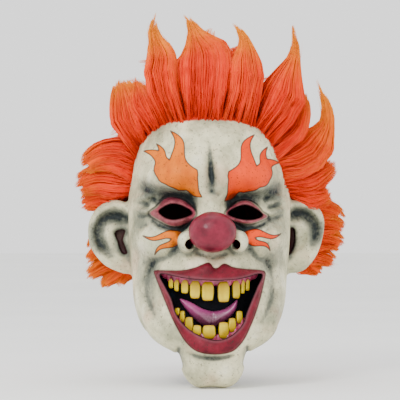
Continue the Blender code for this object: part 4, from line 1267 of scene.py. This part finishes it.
def fibres(name, paths, tint, tone, cores, radius=0.36):
    """Three-sided tapered fibres along the paths, over the locks' cores, as one object."""
    count, steps = paths.shape[:2]
    ways = np.gradient(paths, axis=1)
    ways /= np.maximum(np.linalg.norm(ways, axis=2), 1e-6)[..., None]
    guide = RNG.normal(0, 1, (count, 1, 3))
    one = np.cross(ways, guide)
    one /= np.maximum(np.linalg.norm(one, axis=2), 1e-6)[..., None]
    two = np.cross(ways, one)
    taper = radius * np.clip(1.15 - np.linspace(0, 1, steps) ** 1.6, 0.16, 1)
    taper = taper[None, :, None] * RNG.uniform(0.7, 1.25, (count, 1, 1))
    corners = []
    for k in range(3):
        angle = 2 * math.pi * k / 3
        corners.append(paths + taper * (one * math.cos(angle) + two * math.sin(angle)))
    points = np.stack(corners, 2).reshape(-1, 3)
    start = (np.arange(count) * steps * 3)[:, None, None]
    ring = (np.arange(steps - 1) * 3)[None, :, None]
    a = start + ring + np.arange(3)[None, None]
    b = start + ring + ((np.arange(3) + 1) % 3)[None, None]
    quads = np.stack([a, b, b + 3, a + 3], -1).reshape(-1, 4)
    first = start[:, 0, 0]
    last = first + (steps - 1) * 3
    caps = np.concatenate([
        np.stack([first + 2, first + 1, first], 1), np.stack([last, last + 1, last + 2], 1)
    ])
    faces = quads.tolist() + caps.tolist()
    tints, tones = [np.repeat(tint.reshape(-1), 3)], [np.repeat(np.broadcast_to(tone, tint.shape), 3)]
    points = [points]
    total = len(points[0])
    for core_points, core_faces, core_tint in cores:
        faces += [tuple(i + total for i in face) for face in core_faces]
        points.append(core_points)
        tints.append(core_tint)
        tones.append(np.zeros(len(core_points)))
        total += len(core_points)
    obj = mesh_object(name, np.concatenate(points), faces)
    store(obj, "tint", np.concatenate(tints))
    store(obj, "tone", np.concatenate(tones))
    return obj


def hair():
    """The four panels of hair, in order of their CAD nodes."""
    pool = scalp_points()
    panels = {"hair_back": (back_locks(), True)}
    for name, locks in (("front", FRONT_LOCKS), ("left", LEFT_LOCKS), ("right", RIGHT_LOCKS)):
        panels["hair_" + name] = ({key: at_depth(lock) for key, lock in locks.items()}, False)
    owners = [(panel, key) for panel, (locks, _) in panels.items() for key in locks]
    bases = np.array([panels[panel][0][key][0] for panel, key in owners], float)
    weights = np.array([1.0 if panel == "hair_back" else 0.8 for panel, _ in owners])
    near = (np.linalg.norm(pool[:, None] - bases[None], axis=2) * weights).argmin(1)
    made = {}
    for i, (panel, key) in enumerate(owners):
        roots = pool[near == i]
        if len(roots) < 3:
            roots = pool[np.linalg.norm(pool - bases[i], axis=1).argsort()[:30]]
        locks, across = panels[panel]
        made.setdefault(panel, []).append(lock_fibres(roots, locks[key], across))
    out = {}
    for panel, parts in made.items():
        paths, tint, tone = (np.concatenate([part[k] for part in parts]) for k in range(3))
        locks, across = panels[panel]
        # thinner cores behind, where they show between the fibres
        share = 0.26 if across else 0.5
        cores = [lock_core(lock, across, share=share) for lock in locks.values()]
        out[panel] = fibres("fur_" + panel.split("_")[1], paths, tint, tone, cores)
    return out


# ---------------------------------------------------------------- pads, straps, floor and light
def pad(name, node):
    """A foam pad in the shape of its node, with its edges softened."""
    source = bpy.data.objects[node]
    mesh = source.data.copy()
    obj = bpy.data.objects.new(name, mesh)
    bpy.context.scene.collection.objects.link(obj)
    obj.matrix_world = source.matrix_world.copy()
    obj.data.transform(obj.matrix_world)
    obj.matrix_world = Matrix.Identity(4)
    remesh = obj.modifiers.new("even", "REMESH")
    remesh.mode = "VOXEL"
    remesh.voxel_size = 0.0016
    remesh.use_smooth_shade = True
    soften = obj.modifiers.new("soft", "SMOOTH")
    soften.factor = 0.6
    soften.iterations = 8
    bake(obj)
    return obj


def bake(obj):
    """Apply every modifier on the object."""
    graph = bpy.context.evaluated_depsgraph_get()
    done = bpy.data.meshes.new_from_object(obj.evaluated_get(graph))
    obj.modifiers.clear()
    old = obj.data
    obj.data = done
    bpy.data.meshes.remove(old)


def dress(obj, material, slot, *nodes, body="shell"):
    """Give a piece its material and its body, and hide the CAD nodes it stands for; slot is not used.
    """
    obj.data.materials.clear()
    obj.data.materials.append(material)
    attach(obj, body)
    if nodes:
        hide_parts(*nodes)


def lamp(name, place, target, power, size):
    """A square light that faces the target."""
    data = bpy.data.lights.new(name, "AREA")
    data.energy = power
    data.size = size
    obj = bpy.data.objects.new(name, data)
    bpy.context.scene.collection.objects.link(obj)
    obj.location = place
    obj.rotation_euler = (Vector(target) - Vector(place)).to_track_quat("-Z", "Y").to_euler()


def studio():
    """A pale floor, soft light and the camera."""
    low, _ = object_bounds()
    bpy.ops.mesh.primitive_plane_add(size=12, location=(0, 0, low[2] - 0.0005))
    floor = bpy.context.object
    floor.name = "studio_floor"
    p = Paint("studio_paper")
    p.done(p.ramp(p.noise(3, 3), ((0.3, "f2f2f0"), (0.7, "f8f8f6"))), 0.9)
    floor.data.materials.append(p.material)
    floor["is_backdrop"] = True
    world = bpy.context.scene.world or bpy.data.worlds.new("studio")
    bpy.context.scene.world = world
    world.use_nodes = True
    world.node_tree.nodes["Background"].inputs["Color"].default_value = colour("ffffff")
    world.node_tree.nodes["Background"].inputs["Strength"].default_value = 1.6
    middle = (0, -0.05, -0.12)
    lamp("key", (-0.8, -1.5, 1.1), middle, 26, 0.6)
    lamp("fill", (1.3, -1.5, 0.1), middle, 3, 1.0)
    lamp("top", (0, 0.2, 1.6), middle, 5, 1.0)
    data = bpy.data.cameras.new("camera")
    data.lens = 216
    data.sensor_width = 36
    camera = bpy.data.objects.new("camera", data)
    bpy.context.scene.collection.objects.link(camera)
    turn = math.radians(-1.4)
    aim = Vector((-0.0117, -0.095, -0.100))
    camera.location = aim + 2.4 * Vector((math.sin(turn), -math.cos(turn), 0))
    camera.rotation_euler = (math.pi / 2, 0, turn)
    bpy.context.scene.camera = camera


# ---------------------------------------------------------------- the scene
skin = casting()
dress(skin, latex_material(), "latex", "latex_skin")
dress(nose(), nose_material(), "nose", "clown_nose")
enamel = teeth_material()
UPPERS = [f"upper_tooth_{i}" for i in range(1, 10)]
LOWERS = [f"lower_tooth_{i}" for i in range(1, 9)]
for node in UPPERS + LOWERS:
    dress(tooth(node, node.startswith("upper")), enamel, "teeth", node)
gum_paint = gum_material()
upper_path = [(x, arch_y(x) + 4.5, -176.5 + 0.002 * x * x) for x in range(-46, 43, 8)]
lower_path = [(x, arch_y(x) + 5.0, -243.5 + 0.017 * (x + 2) ** 2) for x in range(-39, 36, 6)]
dress(gum("gum_upper", upper_path, 5.0, UPPERS, True), gum_paint, "gums", "upper_gum")
dress(gum("gum_lower", lower_path, 4.0, LOWERS, False), gum_paint, "gums", "lower_gum")
dress(tongue(), tongue_material(), "tongue", "tongue")
bpy.data.objects["mouth_lining"].data.materials[0] = lining_material()
fur = hair_material()
for node, obj in hair().items():
    dress(obj, fur, "fur", node)
foam = foam_material()
for node in ("crown_pad", "brow_pad"):
    obj = pad(node.split("_")[0] + "_foam", node)
    dress(obj, foam, "foam", node)
webbing = woven_material("strap_webbing", "17171a", "3b3b41", 260, 420)
loops = woven_material("loop_pile", "101013", "2c2c31", 700, 700, 0.95)
hooks = woven_material("hook_pile", "1d1d20", "4b4b52", 520, 520, 0.6)
for end in ("upper", "lower"):
    bpy.data.objects["strap_" + end].data.materials[0] = webbing
    bpy.data.objects["strap_anchor_" + end].data.materials[0] = webbing
    bpy.data.objects["loop_patch_" + end].data.materials[0] = loops
    bpy.data.objects["hook_patch_" + end].data.materials[0] = hooks
studio()
